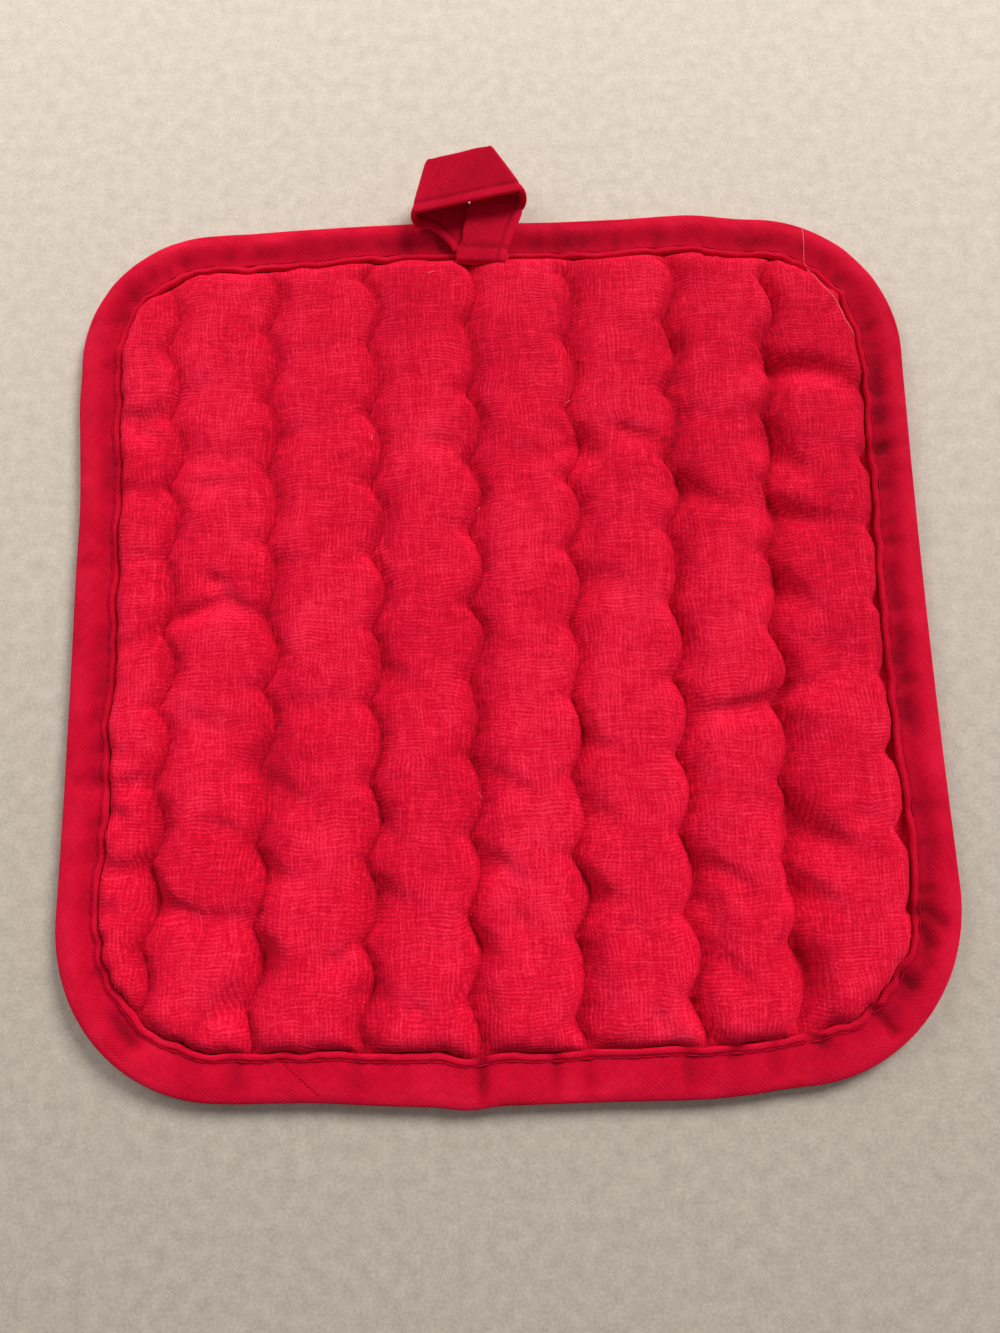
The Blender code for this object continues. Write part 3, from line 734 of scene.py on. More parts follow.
def crown_share(x, y):
    """The share of its height that the quilted face has reached, later from the ends than from the sides."""
    if distance_in(x, y) > NEAR_LIP:
        return 1.0
    toward_end = smooth_step(-END_BLEND, END_BLEND, abs(y) - HALF_LENGTH - abs(x) + HALF_WIDTH)
    reach = CROWN_REACH_SIDE + (CROWN_REACH_END - CROWN_REACH_SIDE) * toward_end
    share = min(max(past_lip(x, y) / reach, 0.0), 1.0)
    return (1.0 - (1.0 - share) ** CROWN_POWER) ** CROWN_ROUNDING


# ---------------------------------------------------------------- quilting


def cusp_x(row, y):
    """X of a stitch row's cusps at a height y: a parabola through its three stated places."""
    share = y / ROW_SPAN
    bend = (row.upper + row.lower) / 2 - row.middle
    return row.middle + share * (row.upper - row.lower) / 2 + bend * share * share


def stitch_x(row, y):
    """X of a stitch row at a height y, with its scallops."""
    bulge = abs(math.cos(math.pi * (y - row.bulge) / SCALLOP_LENGTH))
    deeper = 1.0 + lumps_at(SCALLOP_CHANGE, row.middle, y)
    serration = SERRATION * abs(math.cos(math.pi * y / STITCH_PITCH))
    return cusp_x(row, y) + SCALLOP_DEPTH * bulge * deeper + serration + lumps_at(ROW_WOBBLE, row.middle, y)


def cusp_heights(row):
    """Y of each cusp of a stitch row."""
    first = (row.bulge + SCALLOP_LENGTH / 2) % SCALLOP_LENGTH
    reach = math.ceil(GRID_REACH / SCALLOP_LENGTH)
    return [first + step * SCALLOP_LENGTH for step in range(-reach, reach)]


def nearest_on_run(x, y, points):
    """How far a point is from a run of straight pieces.

    With it come the nearest place's share of the way along the run, and X and Y of the way from there.
    """
    walked = 0.0
    nearest = (math.inf, 0.0, 0.0, 0.0)
    for start, end in zip(points, points[1:]):
        run_x, run_y = end[0] - start[0], end[1] - start[1]
        length = math.hypot(run_x, run_y)
        share = ((x - start[0]) * run_x + (y - start[1]) * run_y) / length**2
        share = min(max(share, 0.0), 1.0)
        way_x, way_y = x - start[0] - share * run_x, y - start[1] - share * run_y
        nearest = min(nearest, (math.hypot(way_x, way_y), walked + share * length, way_x, way_y))
        walked += length
    return nearest[0], nearest[1] / walked, nearest[2], nearest[3]


def cusp_creases():
    """Short creases that spread from the cusps of the stitch rows, each a little different."""
    chance = random.Random(CUSP_CREASE_SEED)
    spread = []
    for row in STITCH_ROWS:
        for y in cusp_heights(row):
            x = cusp_x(row, y)
            for side in (-1.0, 1.0):
                angle = math.radians(chance.uniform(*CUSP_CREASE_ANGLES))
                length = chance.uniform(*CUSP_CREASE_LENGTHS)
                end = (x + side * length * math.cos(angle), y + length * math.sin(angle))
                depth = chance.uniform(*CUSP_CREASE_DEPTHS)
                half_width = chance.uniform(*CUSP_CREASE_HALF_WIDTHS)
                spread.append(Crease(depth, half_width, [(x, y), end]))
    return spread


def cells_within(places, reach):
    """The numbers of the coarse grid's columns or rows that are within reach of some places along X or Y."""
    first = math.floor((min(places) - reach) / CREASE_CELL)
    last = math.floor((max(places) + reach) / CREASE_CELL)
    return range(first, last + 1)


def creases_by_cell(all_creases):
    """The creases that can reach each square of a coarse grid."""
    cells = {}
    for crease in all_creases:
        reach = CREASE_REACH * crease.half_width
        xs, ys = zip(*crease.points)
        for i in cells_within(xs, reach):
            for j in cells_within(ys, reach):
                cells.setdefault((i, j), []).append(crease)
    return cells


CREASE_CELLS = creases_by_cell(CREASES + cusp_creases())


def crease_depth(x, y):
    """How deep the creases are at a point: troughs that lean over, so that one side is gentler."""
    depth = 0.0
    for crease in CREASE_CELLS.get((math.floor(x / CREASE_CELL), math.floor(y / CREASE_CELL)), ()):
        near, along, way_x, way_y = nearest_on_run(x, y, crease.points)
        taper = smooth_step(-CREASE_START, CREASE_START, along) * (1.0 - CREASE_FADING * along * along)
        gentle = 0.5 - 0.5 * (way_x * STEEP_SIDE[0] + way_y * STEEP_SIDE[1]) / max(near, MERGE_DISTANCE)
        reach = near / (crease.half_width * (CREASE_STEEP + (CREASE_GENTLE - CREASE_STEEP) * gentle))
        trough = (1.0 - CREASE_SHOULDER * reach * reach) * math.exp(-reach * reach)
        depth += crease.depth * taper * trough
    return depth


def rise(row, x, y, side):
    """How far the padding has risen beside a stitch row: 0 on the row and 1 well away from it.

    Near the row it follows the scallops, and further off their calm middle line.
    """
    from_row = side * (x - stitch_x(row, y))
    from_middle = side * (x - cusp_x(row, y) - SCALLOP_DEPTH * MEAN_BULGE)
    calm = smooth_step(0.0, CALM_REACH, from_row)
    distance = max(from_row + (from_middle - from_row) * calm, 0.0)
    flank = LEFT_FLANK if side > 0 else RIGHT_FLANK
    reach = flank.reach * (1.0 + lumps_at(FLANK_CHANGE, x, y))
    return 1.0 - (1.0 - min(distance / reach, 1.0)) ** flank.power


def puff_of(gap, x, y):
    """How full the padding is in a gap between stitch rows: 0 on a row and 1 midway between two."""
    if gap + 1 == len(STITCH_ROWS):
        return 0.0
    left = rise(STITCH_ROWS[gap], x, y, 1.0) if gap >= 0 else 1.0
    return left * rise(STITCH_ROWS[gap + 1], x, y, -1.0)


def stitch_pinch(x, y):
    """How far the needle holes of the nearest stitch row draw the cloth down."""
    near = min(abs(x - stitch_x(row, y)) for row in STITCH_ROWS)
    pulled = 0.5 - 0.5 * math.cos(2.0 * math.pi * y / STITCH_PITCH + math.pi)
    at_holes = HOLE_PINCH.depth * pulled * hump(near, HOLE_PINCH.reach)
    return ROW_PINCH.depth * hump(near, ROW_PINCH.reach) + at_holes


def front_height(x, y, puff):
    """Height of the quilted face."""
    lumps = sum(lumps_at(layer, x, y) for layer in FACE_LUMPS)
    crown = CROWN_HEIGHT + lumps
    crease = CREASE_STRENGTH * crease_depth(x, y) * (CREASE_ON_ROW + (1.0 - CREASE_ON_ROW) * puff)
    groove = GROOVE_HEIGHT + GROOVE_LEAN[0] * x + GROOVE_LEAN[1] * y
    groove += lumps_at(GROOVE_CHANGE, x, y)
    height = groove + (crown - groove) * puff - crease - stitch_pinch(x, y)
    rim = RIM_MIDDLE + RIM_HALF_THICKNESS
    return rim + (max(height, LEAST_FACE_HEIGHT) - rim) * crown_share(x, y) + edge_lift(x, y)


def back_height(x, y, puff):
    """Height of the underside: flat where it rests, with a shallow groove under each stitch row."""
    groove = BACK_GROOVE * (1.0 - smooth_step(0.0, BACK_GROOVE_END, puff))
    rim = RIM_MIDDLE - RIM_HALF_THICKNESS
    share = smooth_step(BELLY_START, BELLY_FULL, distance_in(x, y))
    return rim + (groove - rim) * share + edge_lift(x, y)


def column_places(cell):
    """The pad's grid columns: the gap between stitch rows that each is in, and its share of the gap."""
    rows = len(STITCH_ROWS)
    edges = [-GRID_REACH] + [row.middle for row in STITCH_ROWS] + [GRID_REACH]
    places = []
    for gap in range(-1, rows):
        steps = round((edges[gap + 2] - edges[gap + 1]) / cell)
        places += [(gap, step / steps) for step in range(steps)]
    return places + [(rows - 1, 1.0)]


def column_x(gap, share, y):
    """X of one of the pad's grid columns at a height y."""
    left = -GRID_REACH if gap < 0 else stitch_x(STITCH_ROWS[gap], y)
    right = GRID_REACH if gap + 1 == len(STITCH_ROWS) else stitch_x(STITCH_ROWS[gap + 1], y)
    return left + (right - left) * share


# ---------------------------------------------------------------- mesh helpers


def add_object(name, data):
    """A new object of the scene, for a mesh, a lamp or a camera."""
    added = bpy.data.objects.new(name, data)
    bpy.context.scene.collection.objects.link(added)
    return added


def mesh_object(bm, name, material):
    """A new object from finished work, in its material."""
    mesh = bpy.data.meshes.new(name)
    bm.to_mesh(mesh)
    bm.free()
    mesh.materials.append(material)
    return add_object(name, mesh)


def finish_mesh(bm, name, node, material):
    """Turns the work into metres, gives it an object of its own and lets it ride on the part."""
    bmesh.ops.scale(bm, vec=Vector((METRES, METRES, METRES)), verts=bm.verts)
    piece = mesh_object(bm, name, material)
    piece.data.shade_smooth()
    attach(piece, "root")
    if node:
        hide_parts(node)
    return piece


def add_to(bm, other):
    """Adds a copy of another work's mesh to this one."""
    scratch = bpy.data.meshes.new("scratch")
    other.to_mesh(scratch)
    bm.from_mesh(scratch)
    bpy.data.meshes.remove(scratch)


def placed_grid(columns, rows, place, chart=None, raised=None):
    """A grid whose points go where place(column, row) says.

    chart(column, row) gives its UVs in millimetres, and raised(column, row) the relief value from which its
    shade and highlight are painted.
    """
    bm = bmesh.new()
    relief = bm.verts.layers.float.new("relief") if raised else None
    bmesh.ops.create_grid(bm, x_segments=columns - 1, y_segments=rows - 1, size=0.5)
    uv_layer = bm.loops.layers.uv.new("tape") if chart else None
    charted = {}
    for vert in bm.verts:
        column = round((vert.co.x + 0.5) * (columns - 1))
        row = round((vert.co.y + 0.5) * (rows - 1))
        vert.co = Vector(place(column, row))
        if raised:
            vert[relief] = raised(column, row)
        if chart:
            charted[vert] = chart(column, row)
    if chart:
        for face in bm.faces:
            for corner in face.loops:
                corner[uv_layer].uv = Vector(charted[corner.vert]) * METRES
    return bm


def face_up(bm, up=True):
    """Turns an open sheet's faces to one side."""
    bmesh.ops.recalc_face_normals(bm, faces=bm.faces)
    total = sum(face.normal.z * face.calc_area() for face in bm.faces)
    if (total > 0) != up:
        bmesh.ops.reverse_faces(bm, faces=bm.faces)


# ---------------------------------------------------------------- pad


def pad_face(cell, height):
    """One face of the pad, whose columns follow the stitch rows, cut off at the pad's outline.

    Until a point gets its height, its Z holds how full the padding is there.
    """
    places = column_places(cell)
    row_count = 2 * math.ceil(GRID_REACH / cell) + 1

    def place(column, row):
        gap, share = places[column]
        y = (row - row_count // 2) * cell
        x = column_x(gap, share, y)
        return x, y, puff_of(gap, x, y)

    bm = placed_grid(len(places), row_count, place)
    outside = [vert for vert in bm.verts if distance_in(vert.co.x, vert.co.y) < RIM_INSET + cell / 2]
    bmesh.ops.delete(bm, geom=outside, context="VERTS")
    relief = bm.verts.layers.float.new("relief")
    for vert in bm.verts:
        if vert.is_boundary:
            snap_to_rim(vert)
        x, y, puff = vert.co
        # painted shade and light: the material darkens the cloth where this relief is low, in the grooves and
        # by the lip, and lightens it on the crowns
        vert[relief] = puff * crown_share(x, y)
        vert.co.z = height(x, y, puff)
    return bm


def snap_to_rim(vert):
    """Moves a point of the jagged border straight out to the pad's outline."""
    x, y = vert.co.x, vert.co.y
    step = 0.1
    slope_x = (distance_in(x + step, y) - distance_in(x - step, y)) / (2 * step)
    slope_y = (distance_in(x, y + step) - distance_in(x, y - step)) / (2 * step)
    over = distance_in(x, y) - RIM_INSET
    vert.co.x -= slope_x * over
    vert.co.y -= slope_y * over


def make_pad(material):
    """The quilted body: a fine front and a plainer back, joined round the rim."""
    front = pad_face(FRONT_CELL, front_height)
    back = pad_face(BACK_CELL, back_height)
    face_up(front)
    face_up(back, up=False)
    add_to(front, back)
    back.free()
    border = [edge for edge in front.edges if edge.is_boundary]
    bmesh.ops.bridge_loops(front, edges=border)
    pad = finish_mesh(front, "pad_cloth", "quilted_pad", material)


# ---------------------------------------------------------------- binding


def eased(points, share):
    """A point between the middle two of four, on the smooth curve through them."""
    before, start, end, after = points
    square, cube = share * share, share * share * share
    return 0.5 * (
        2.0 * start
        + (end - before) * share
        + (2.0 * before - 5.0 * start + 4.0 * end - after) * square
        + (3.0 * start - before - 3.0 * end + after) * cube
    )


def smooth_run(points, steps):
    """Points on the smooth curve through the given ones, ends included."""
    padded = [points[0]] + list(points) + [points[-1]]
    run = [points[0]]
    for index in range(len(points) - 1):
        near = padded[index : index + 4]
        run += [eased(near, step / steps) for step in range(1, steps + 1)]
    return run


def binding_section():
    """The tape's section once round from the front lip: each point's share, its height, and 1 if outside."""
    upper = [Vector(point) for point in BINDING_OUTSIDE] + [Vector((0.0, 0.0))]
    upper = smooth_run(upper, SECTION_STEPS)
    lower = [Vector((point.x, -point.y)) for point in upper[-2::-1]]
    inner = [Vector(point) for point in BINDING_INSIDE]
    inner_lower = [Vector((point.x, -point.y)) for point in inner[::-1]]
    outside = [(point.x, point.y, 1.0) for point in upper + lower]
    return outside + [(point.x, point.y, 0.0) for point in inner_lower + inner]


def hollow_at(station, share):
    """How far the tape has sunk in outside its stitching, from 0 to 1, and not at all on its outer roll."""
    layer = DIMPLE_LAYER + share * DIMPLE_CHANGE
    wave = 0.0
    for part in (1.0, 0.5):
        length = DIMPLE_LENGTH * part
        wave += lumps_at(Lumps(part, length, length, layer), station.x, station.y)
    sunk = DIMPLE_BAND + (1.0 - DIMPLE_BAND) * smooth_step(*DIMPLE_RANGE, wave)
    return by_side(DIMPLES, station) * sunk * hump(share - by_side(DIMPLE_SHARES, station), DIMPLE_REACH)


def pucker_depth(station, share):
    """How deep the puckers and the folds across the tape are at a place."""
    x, y = inside_of(station, share * lip_width(station))
    folds = 0.0
    for fold in TAPE_FOLDS:
        folds += fold.depth * hump(nearest_on_run(x, y, fold.points)[0], fold.half_width)
    puckers = [pucker for pucker in PUCKERS if pucker.side == station.side]
    depth = sum(pucker.depth * hump(station.along - pucker.along, pucker.reach) for pucker in puckers)
    return depth * smooth_step(0.0, PUCKER_START, share) + folds


def binding_relief(station, share):
    """How far the outside of the tape stands over its plain section: puckers, dimples and unevenness."""
    x, y = inside_of(station, share * lip_width(station))
    ripple = sum(lumps_at(lumps, x, y) for lumps in TAPE_RIPPLES)
    swell = lumps_at(TAPE_SWELL, station.x, station.y)
    join = JOIN_DEPTH * hump(nearest_on_run(x, y, TAPE_JOIN)[0], JOIN_HALF_WIDTH)
    return swell + ripple - DIMPLE_DEPTH * hollow_at(station, share) - join - pucker_depth(station, share)


def binding_point(station, share, height, outside):
    """A point of the binding in space."""
    if outside and height > 0:
        height *= 1.0 - by_side(OUTER_DROP, station) * (1.0 - smooth_step(*OUTER_PART, share))
        raised = height + binding_relief(station, share) * smooth_step(0.0, FULL_RELIEF, height)
        height = max(raised, min(height, LEAST_HEIGHT))
    elif outside:
        relief = min(binding_relief(station, share), 0.0) * UNDERSIDE_RELIEF
        raised = height - relief * smooth_step(0.0, FULL_RELIEF, -height)
        height = min(raised, max(height, -LEAST_HEIGHT))
    x, y = inside_of(station, share * lip_width(station))
    return Vector((x, y, RIM_MIDDLE + height + edge_lift(x, y)))


def on_tape(x, y):
    """A place on top of the tape, right over X and Y."""
    _, index, _ = STATION_TREE.find((x, y, 0.0))
    station = STATIONS[index]
    inward = (station.x - x) * station.out_x + (station.y - y) * station.out_y
    share = inward / lip_width(station)
    top = [point for point in binding_section() if point[2] and point[1] > 0]
    nearest = min(top, key=lambda point: abs(point[0] - share))
    return Vector((x, y, binding_point(station, share, nearest[1], 1.0).z))


def binding_charts(stations, section):
    """How far along the outline each station is, and how far round the section each of its points is."""
    along = [0.0]
    for here, there in zip(stations, stations[1:] + stations[:1]):
        along.append(along[-1] + math.hypot(there.x - here.x, there.y - here.y))
    lip = sum(LIP_WIDTHS.values()) / len(LIP_WIDTHS)
    across = [0.0]
    for here, there in zip(section, section[1:] + section[:1]):
        across.append(across[-1] + math.hypot((there[0] - here[0]) * lip, there[1] - here[1]))
    return along, across


def make_binding(material):
    """The folded tape round the whole edge, its two lips held on the front and on the back."""
    section = binding_section()
    along, across = binding_charts(STATIONS, section)

    def place(column, row):
        share, height, outside = section[row % len(section)]
        return binding_point(STATIONS[column % len(STATIONS)], share, height, outside)

    def chart(column, row):
        return along[column], across[row]

    # painted shade: the tape's colour is darkened in its dimples, puckers and the groove of its stitching,
    # where shade falls
    def raised(column, row):
        station = STATIONS[column % len(STATIONS)]
        share, height, _ = section[row % len(section)]
        if height <= 0:
            return 1.0
        hollow = hollow_at(station, share) + STITCH_SHADE * hump(share - STITCH_SHARE, STITCH_SHADE_REACH)
        return 1.0 - min(DIMPLE_SHADE * hollow + PUCKER_SHADE * pucker_depth(station, share), 1.0)

    bm = placed_grid(len(STATIONS) + 1, len(section) + 1, place, chart, raised)
    bmesh.ops.remove_doubles(bm, verts=bm.verts, dist=MERGE_DISTANCE)
    bmesh.ops.recalc_face_normals(bm, faces=bm.faces)
    binding = finish_mesh(bm, "binding_tape", "edge_binding", material)


# ---------------------------------------------------------------- hanging loop


def half_turn(before, after, came_from):
    """Rungs of a half turn from one rung to another over or under it, bulging the way the tape goes."""
    stitched, plain = Vector(before.stitched_edge), Vector(before.plain_edge)
    end_stitched, end_plain = Vector(after.stitched_edge), Vector(after.plain_edge)
    outward = (plain - stitched).cross(Vector((0.0, 0.0, 1.0))).normalized()
    middle = (Vector(came_from.stitched_edge) + Vector(came_from.plain_edge)) / 2
    if outward.dot((stitched + plain) / 2 - middle) < 0:
        outward.negate()
    rungs = []
    for step in range(1, RUNGS_PER_TURN + 1):
        angle = math.pi * step / RUNGS_PER_TURN
        share = (1.0 - math.cos(angle)) / 2
        edges = []
        for first, last in ((stitched, end_stitched), (plain, end_plain)):
            bulge = outward * (last - first).length / 2 * TURN_BULGE * math.sin(angle)
            edges.append(first.lerp(last, share) + bulge)
        rungs.append(edges)
    return rungs


def straight_run(run):
    """Rungs of a stretch with no turn in it, on smooth curves through its rows' edges."""
    edges = [(Vector(row.stitched_edge), Vector(row.plain_edge)) for row in run]
    padded = [edges[0]] + edges + [edges[-1]]
    rungs = []
    for index in range(len(edges) - 1):
        gap = max((edges[index + 1][side] - edges[index][side]).length for side in (0, 1))
        steps = max(1, round(gap / RUNG_SPACING))
        for step in range(1, steps + 1):
            near = padded[index : index + 4]
            rungs.append([eased([pair[side] for pair in near], step / steps) for side in (0, 1)])
    return rungs


def loop_rungs():
    """All rungs of the hanging loop, from its turned-under end to its other end."""
    first = LOOP_RUNGS[0]
    rungs = [[Vector(first.stitched_edge), Vector(first.plain_edge)]]
    run = [first]
    for row in LOOP_RUNGS[1:]:
        if row.turn:
            rungs += straight_run(run)
            rungs += half_turn(run[-1], row, run[-2])
            run = [row]
        else:
            run.append(row)
    return rungs + straight_run(run)


def rung_normal(rungs, index):
    """The tape's own up direction at a rung."""
    before = rungs[max(index - 1, 0)]
    after = rungs[min(index + 1, len(rungs) - 1)]
    forward = (after[0] + after[1]) - (before[0] + before[1])
    return forward.cross(rungs[index][1] - rungs[index][0]).normalized()


def make_loop(material):
    """The hanging loop: one folded tape bent into a flat ring, its ends on each other on the binding."""
    rungs = loop_rungs()
    normals = [rung_normal(rungs, index) for index in range(len(rungs))]
    ring = [(share, thick) for share, thick in TAPE_SECTION]
    ring += [(share, -thick) for share, thick in TAPE_SECTION[::-1]]
    along = [0.0]
    for here, there in zip(rungs, rungs[1:]):
        along.append(along[-1] + ((there[0] + there[1]) / 2 - (here[0] + here[1]) / 2).length)

    def place(column, row):
        share, thick = ring[row % len(ring)]
        stitched, plain = rungs[column]
        middle = stitched.lerp(plain, share)
        hem_seam = hump(along[column] - HEM_SEAM, HEM_SEAM_REACH)
        lump = lumps_at(TAPE_LUMPS, along[column], TAPE_WIDTH * share) - HEM_DEPTH * hem_seam
        lump *= smooth_step(PLAIN_EDGE, 1.0, abs(thick)) * math.copysign(1.0, thick)
        return middle + normals[column] * (thick * TAPE_THICKNESS + lump) / 2

    def chart(column, row):
        return along[column], row * TAPE_WIDTH / len(TAPE_SECTION)

    # painted highlight on the loop's stitched lip and hem, and painted shade in its seams
    def raised(column, row):
        share, _ = ring[row % len(ring)]
        seam = hump(share - LOOP_SEAM_SHARE, LOOP_SEAM_REACH) + hump(along[column] - HEM_SEAM, HEM_SEAM_REACH)
        lip = LIP_HIGHLIGHT * (1.0 - smooth_step(LOOP_SEAM_SHARE, LOOP_SEAM_SHARE + LIP_HIGHLIGHT_FADE, share))
        hem = HEM_HIGHLIGHT * (1.0 - smooth_step(HEM_SEAM, HEM_SEAM + HEM_HIGHLIGHT_FADE, along[column]))
        return min(LOOP_TONE + lip + hem, MOST_TONE) - SEAM_SHADE * min(seam, 1.0)

    bm = placed_grid(len(rungs), len(ring) + 1, place, chart, raised)
    bmesh.ops.remove_doubles(bm, verts=bm.verts, dist=MERGE_DISTANCE)
    bmesh.ops.holes_fill(bm, edges=[edge for edge in bm.edges if edge.is_boundary])
    bmesh.ops.recalc_face_normals(bm, faces=bm.faces)
    loop = finish_mesh(bm, "loop_tape", "hanging_loop", material)


# ---------------------------------------------------------------- stitches


def place_rank(face):
    """A number for a face's place on the plain stitch: by its height first, then by its way round."""
    centre = face.calc_center_median()
    return 100.0 * round(centre.z, 3) + math.atan2(centre.y, centre.x)


def sewn(stitches, radius=THREAD_RADIUS):
    """A mesh of stitches, each a plump thread from one needle hole to the next."""
    single = bmesh.new()
    bmesh.ops.create_uvsphere(single, u_segments=8, v_segments=6, radius=1.0)
    single.faces.sort(key=place_rank)  # the sphere's own order of faces changes from run to run
    bm = bmesh.new()
    for start, end in stitches:
        run = end - start
        turn = Vector((0.0, 0.0, 1.0)).rotation_difference(run).to_matrix().to_4x4()
        shape = Matrix.Diagonal((radius, radius, run.length / 2, 1.0))
        stitch = single.copy()
        stitch.transform(Matrix.Translation((start + end) / 2) @ turn @ shape)
        add_to(bm, stitch)
        stitch.free()
    single.free()
    return bm


def row_stitches(height, lift):
    """The stitches of all rows on a face of the pad, by the face's height and how far over it they lie."""
    stitches = []
    for row in STITCH_ROWS:
        count = int(2 * GRID_REACH / STITCH_PITCH)
        for step in range(-count // 2, count // 2):
            low = (step + 0.5) * STITCH_PITCH
            ends = []
            for y in (low + HOLE_GAP, low + STITCH_PITCH - HOLE_GAP):
                x = stitch_x(row, y)
                if past_lip(x, y) < PAST_LIP:
                    break
                ends.append(Vector((x, y, height(x, y, 0.0) + lift)))
            if len(ends) == 2:
                stitches.append(ends)
    return stitches


def make_row_stitches(material):
    """The stitches that quilt the pad, on its face and on its underside."""
    stitches = row_stitches(front_height, THREAD_RADIUS * FRONT_LIFT)
    stitches += row_stitches(back_height, -THREAD_RADIUS * BACK_LIFT)
    finish_mesh(sewn(stitches), "row_stitches", None, material)


def join_stitches():
    """The short stitches of the slanting join in the lower binding, laid on the tape."""
    start, end = (Vector(point) for point in TAPE_JOIN)
    count = int((end - start).length / JOIN_STITCH)
    lift = Vector((0.0, 0.0, THREAD_RADIUS))
    places = [on_tape(*start.lerp(end, step / count)) + lift for step in range(1, count)]
    return [(here, here.lerp(there, JOIN_STITCH_SHARE)) for here, there in zip(places, places[1:])]


def make_binding_stitches(material):
    """Stitches along the binding, a little outside its lip, on the front and on the back."""
    stitches = []
    for height in (STITCH_HEIGHT, -STITCH_HEIGHT):
        lift = Vector((0.0, 0.0, math.copysign(THREAD_RADIUS * BINDING_STITCH_LIFT, height)))
        walked = 0.0
        start = None
        for here, there in zip(STATIONS, STATIONS[1:]):
            walked += math.hypot(there.x - here.x, there.y - here.y)
            if start is None and walked >= BINDING_STITCH_GAP:
                start = binding_point(here, STITCH_SHARE, height, 1.0)
            if walked >= STITCH_PITCH:
                end = binding_point(there, STITCH_SHARE, height, 1.0)
                stitches.append((start + lift, end + lift))
                walked = 0.0
                start = None
    stitches += join_stitches()
    finish_mesh(sewn(stitches), "binding_stitches", None, material)


def on_face(x, y):
    """A place on the quilted face, right over X and Y."""
    gap = sum(1 for row in STITCH_ROWS if stitch_x(row, y) < x) - 1
    return Vector((x, y, front_height(x, y, puff_of(gap, x, y))))


def lies_on(x, y):
    """A place on top of whatever lies at X and Y."""
    return on_face(x, y) if past_lip(x, y) > 0 else on_tape(x, y)


def make_lint(material):
    """One long stray fibre near a corner, and short ones here and there."""
    places = smooth_run([Vector(place) for place in LONG_FIBRE], FIBRE_STEPS)
    fibres = list(zip(places, places[1:]))
    for x, y, degrees in SHORT_FIBRES:
        angle = math.radians(degrees)
        reach = Vector((math.cos(angle), math.sin(angle))) * FIBRE_LENGTH / 2
        fibres.append((Vector((x, y)) - reach, Vector((x, y)) + reach))
    lift = Vector((0.0, 0.0, FIBRE_LIFT))
    laid = []
    for start, end in fibres:
        ends = (start.lerp(end, 1.0 - FIBRE_STRETCH), start.lerp(end, FIBRE_STRETCH))
        laid.append([lies_on(*place) + lift for place in ends])
    finish_mesh(sewn(laid, FIBRE_RADIUS), "lint", None, material)


# ---------------------------------------------------------------- materials


def plug(tree, value, socket):
    """Sets an input to a value or, where that is another node's output, links the two."""
    if isinstance(value, bpy.types.NodeSocket):
        tree.links.new(value, socket)
    else:
        socket.default_value = value


def add_node(tree, kind, place, inputs, **settings):
    """A node with its settings as words, and its inputs by name or number."""
    node = tree.nodes.new(f"ShaderNode{kind}")
    node.location = place
    for name, value in settings.items():
        setattr(node, name, value)
    for name, value in inputs.items():
        plug(tree, value, node.inputs[name])
    return node


def math_node(tree, operation, place, *values):
    """The result of a Math node."""
    return add_node(tree, "Math", place, dict(enumerate(values)), operation=operation).outputs[0]


def vector_node(tree, operation, place, inputs):
    """The result of a Vector Math node."""
    return add_node(tree, "VectorMath", place, inputs, operation=operation).outputs["Vector"]


def noise_node(tree, place, vector, scale, detail):
    """A Noise Texture node on a vector."""
    return add_node(tree, "TexNoise", place, {"Vector": vector, "Scale": scale, "Detail": detail})


def colour_ramp(tree, place, tone, stops):
    """The colour of a tone, between stops that each have a tone and a colour."""
    ramp = add_node(tree, "ValToRGB", place, {"Fac": tone})
    elements = ramp.color_ramp.elements
    elements[0].position, elements[0].color = stops[0]
    elements[1].position, elements[1].color = stops[-1]
    for position, colour in stops[1:-1]:
        elements.new(position).color = colour
    return ramp.outputs["Color"]


def new_material(name, values):
    """A material and its shader, with the shader's plain values set."""
    material = bpy.data.materials.new(name)
    material.use_nodes = True
    shader = material.node_tree.nodes["Principled BSDF"]
    for socket, value in values.items():
        shader.inputs[socket].default_value = value
    return material, shader


def new_group(name, inputs, outputs):
    """A node group with its sockets, and its input and output nodes."""
    group = bpy.data.node_groups.new(name, "ShaderNodeTree")
    for socket_name, kind, value in inputs:
        socket = group.interface.new_socket(name=socket_name, in_out="INPUT", socket_type=kind)
        if value is not None:
            socket.default_value = value
    for socket_name, kind in outputs:
        group.interface.new_socket(name=socket_name, in_out="OUTPUT", socket_type=kind)
    start = group.nodes.new("NodeGroupInput")
    start.location = (-1200, 0)
    end = group.nodes.new("NodeGroupOutput")
    end.location = (900, 0)
    return group, start, end


def wandering(group, start):
    """Each place as the weave has it, whose threads wander a little to and fro."""
    millimetres = start.outputs["Millimetres"]
    drift = noise_node(group, (-1000, -250), millimetres, WANDER_SCALE, 4.0).outputs["Color"]
    centred = vector_node(group, "SUBTRACT", (-820, -250), {0: drift, 1: (0.5, 0.5, 0.5)})
    reach = math_node(group, "MULTIPLY", (-820, -420), start.outputs["Wander"], WANDER_REACH)
    scaled = vector_node(group, "SCALE", (-660, -250), {0: centred, "Scale": reach})
    return vector_node(group, "ADD", (-500, -100), {0: millimetres, 1: scaled})


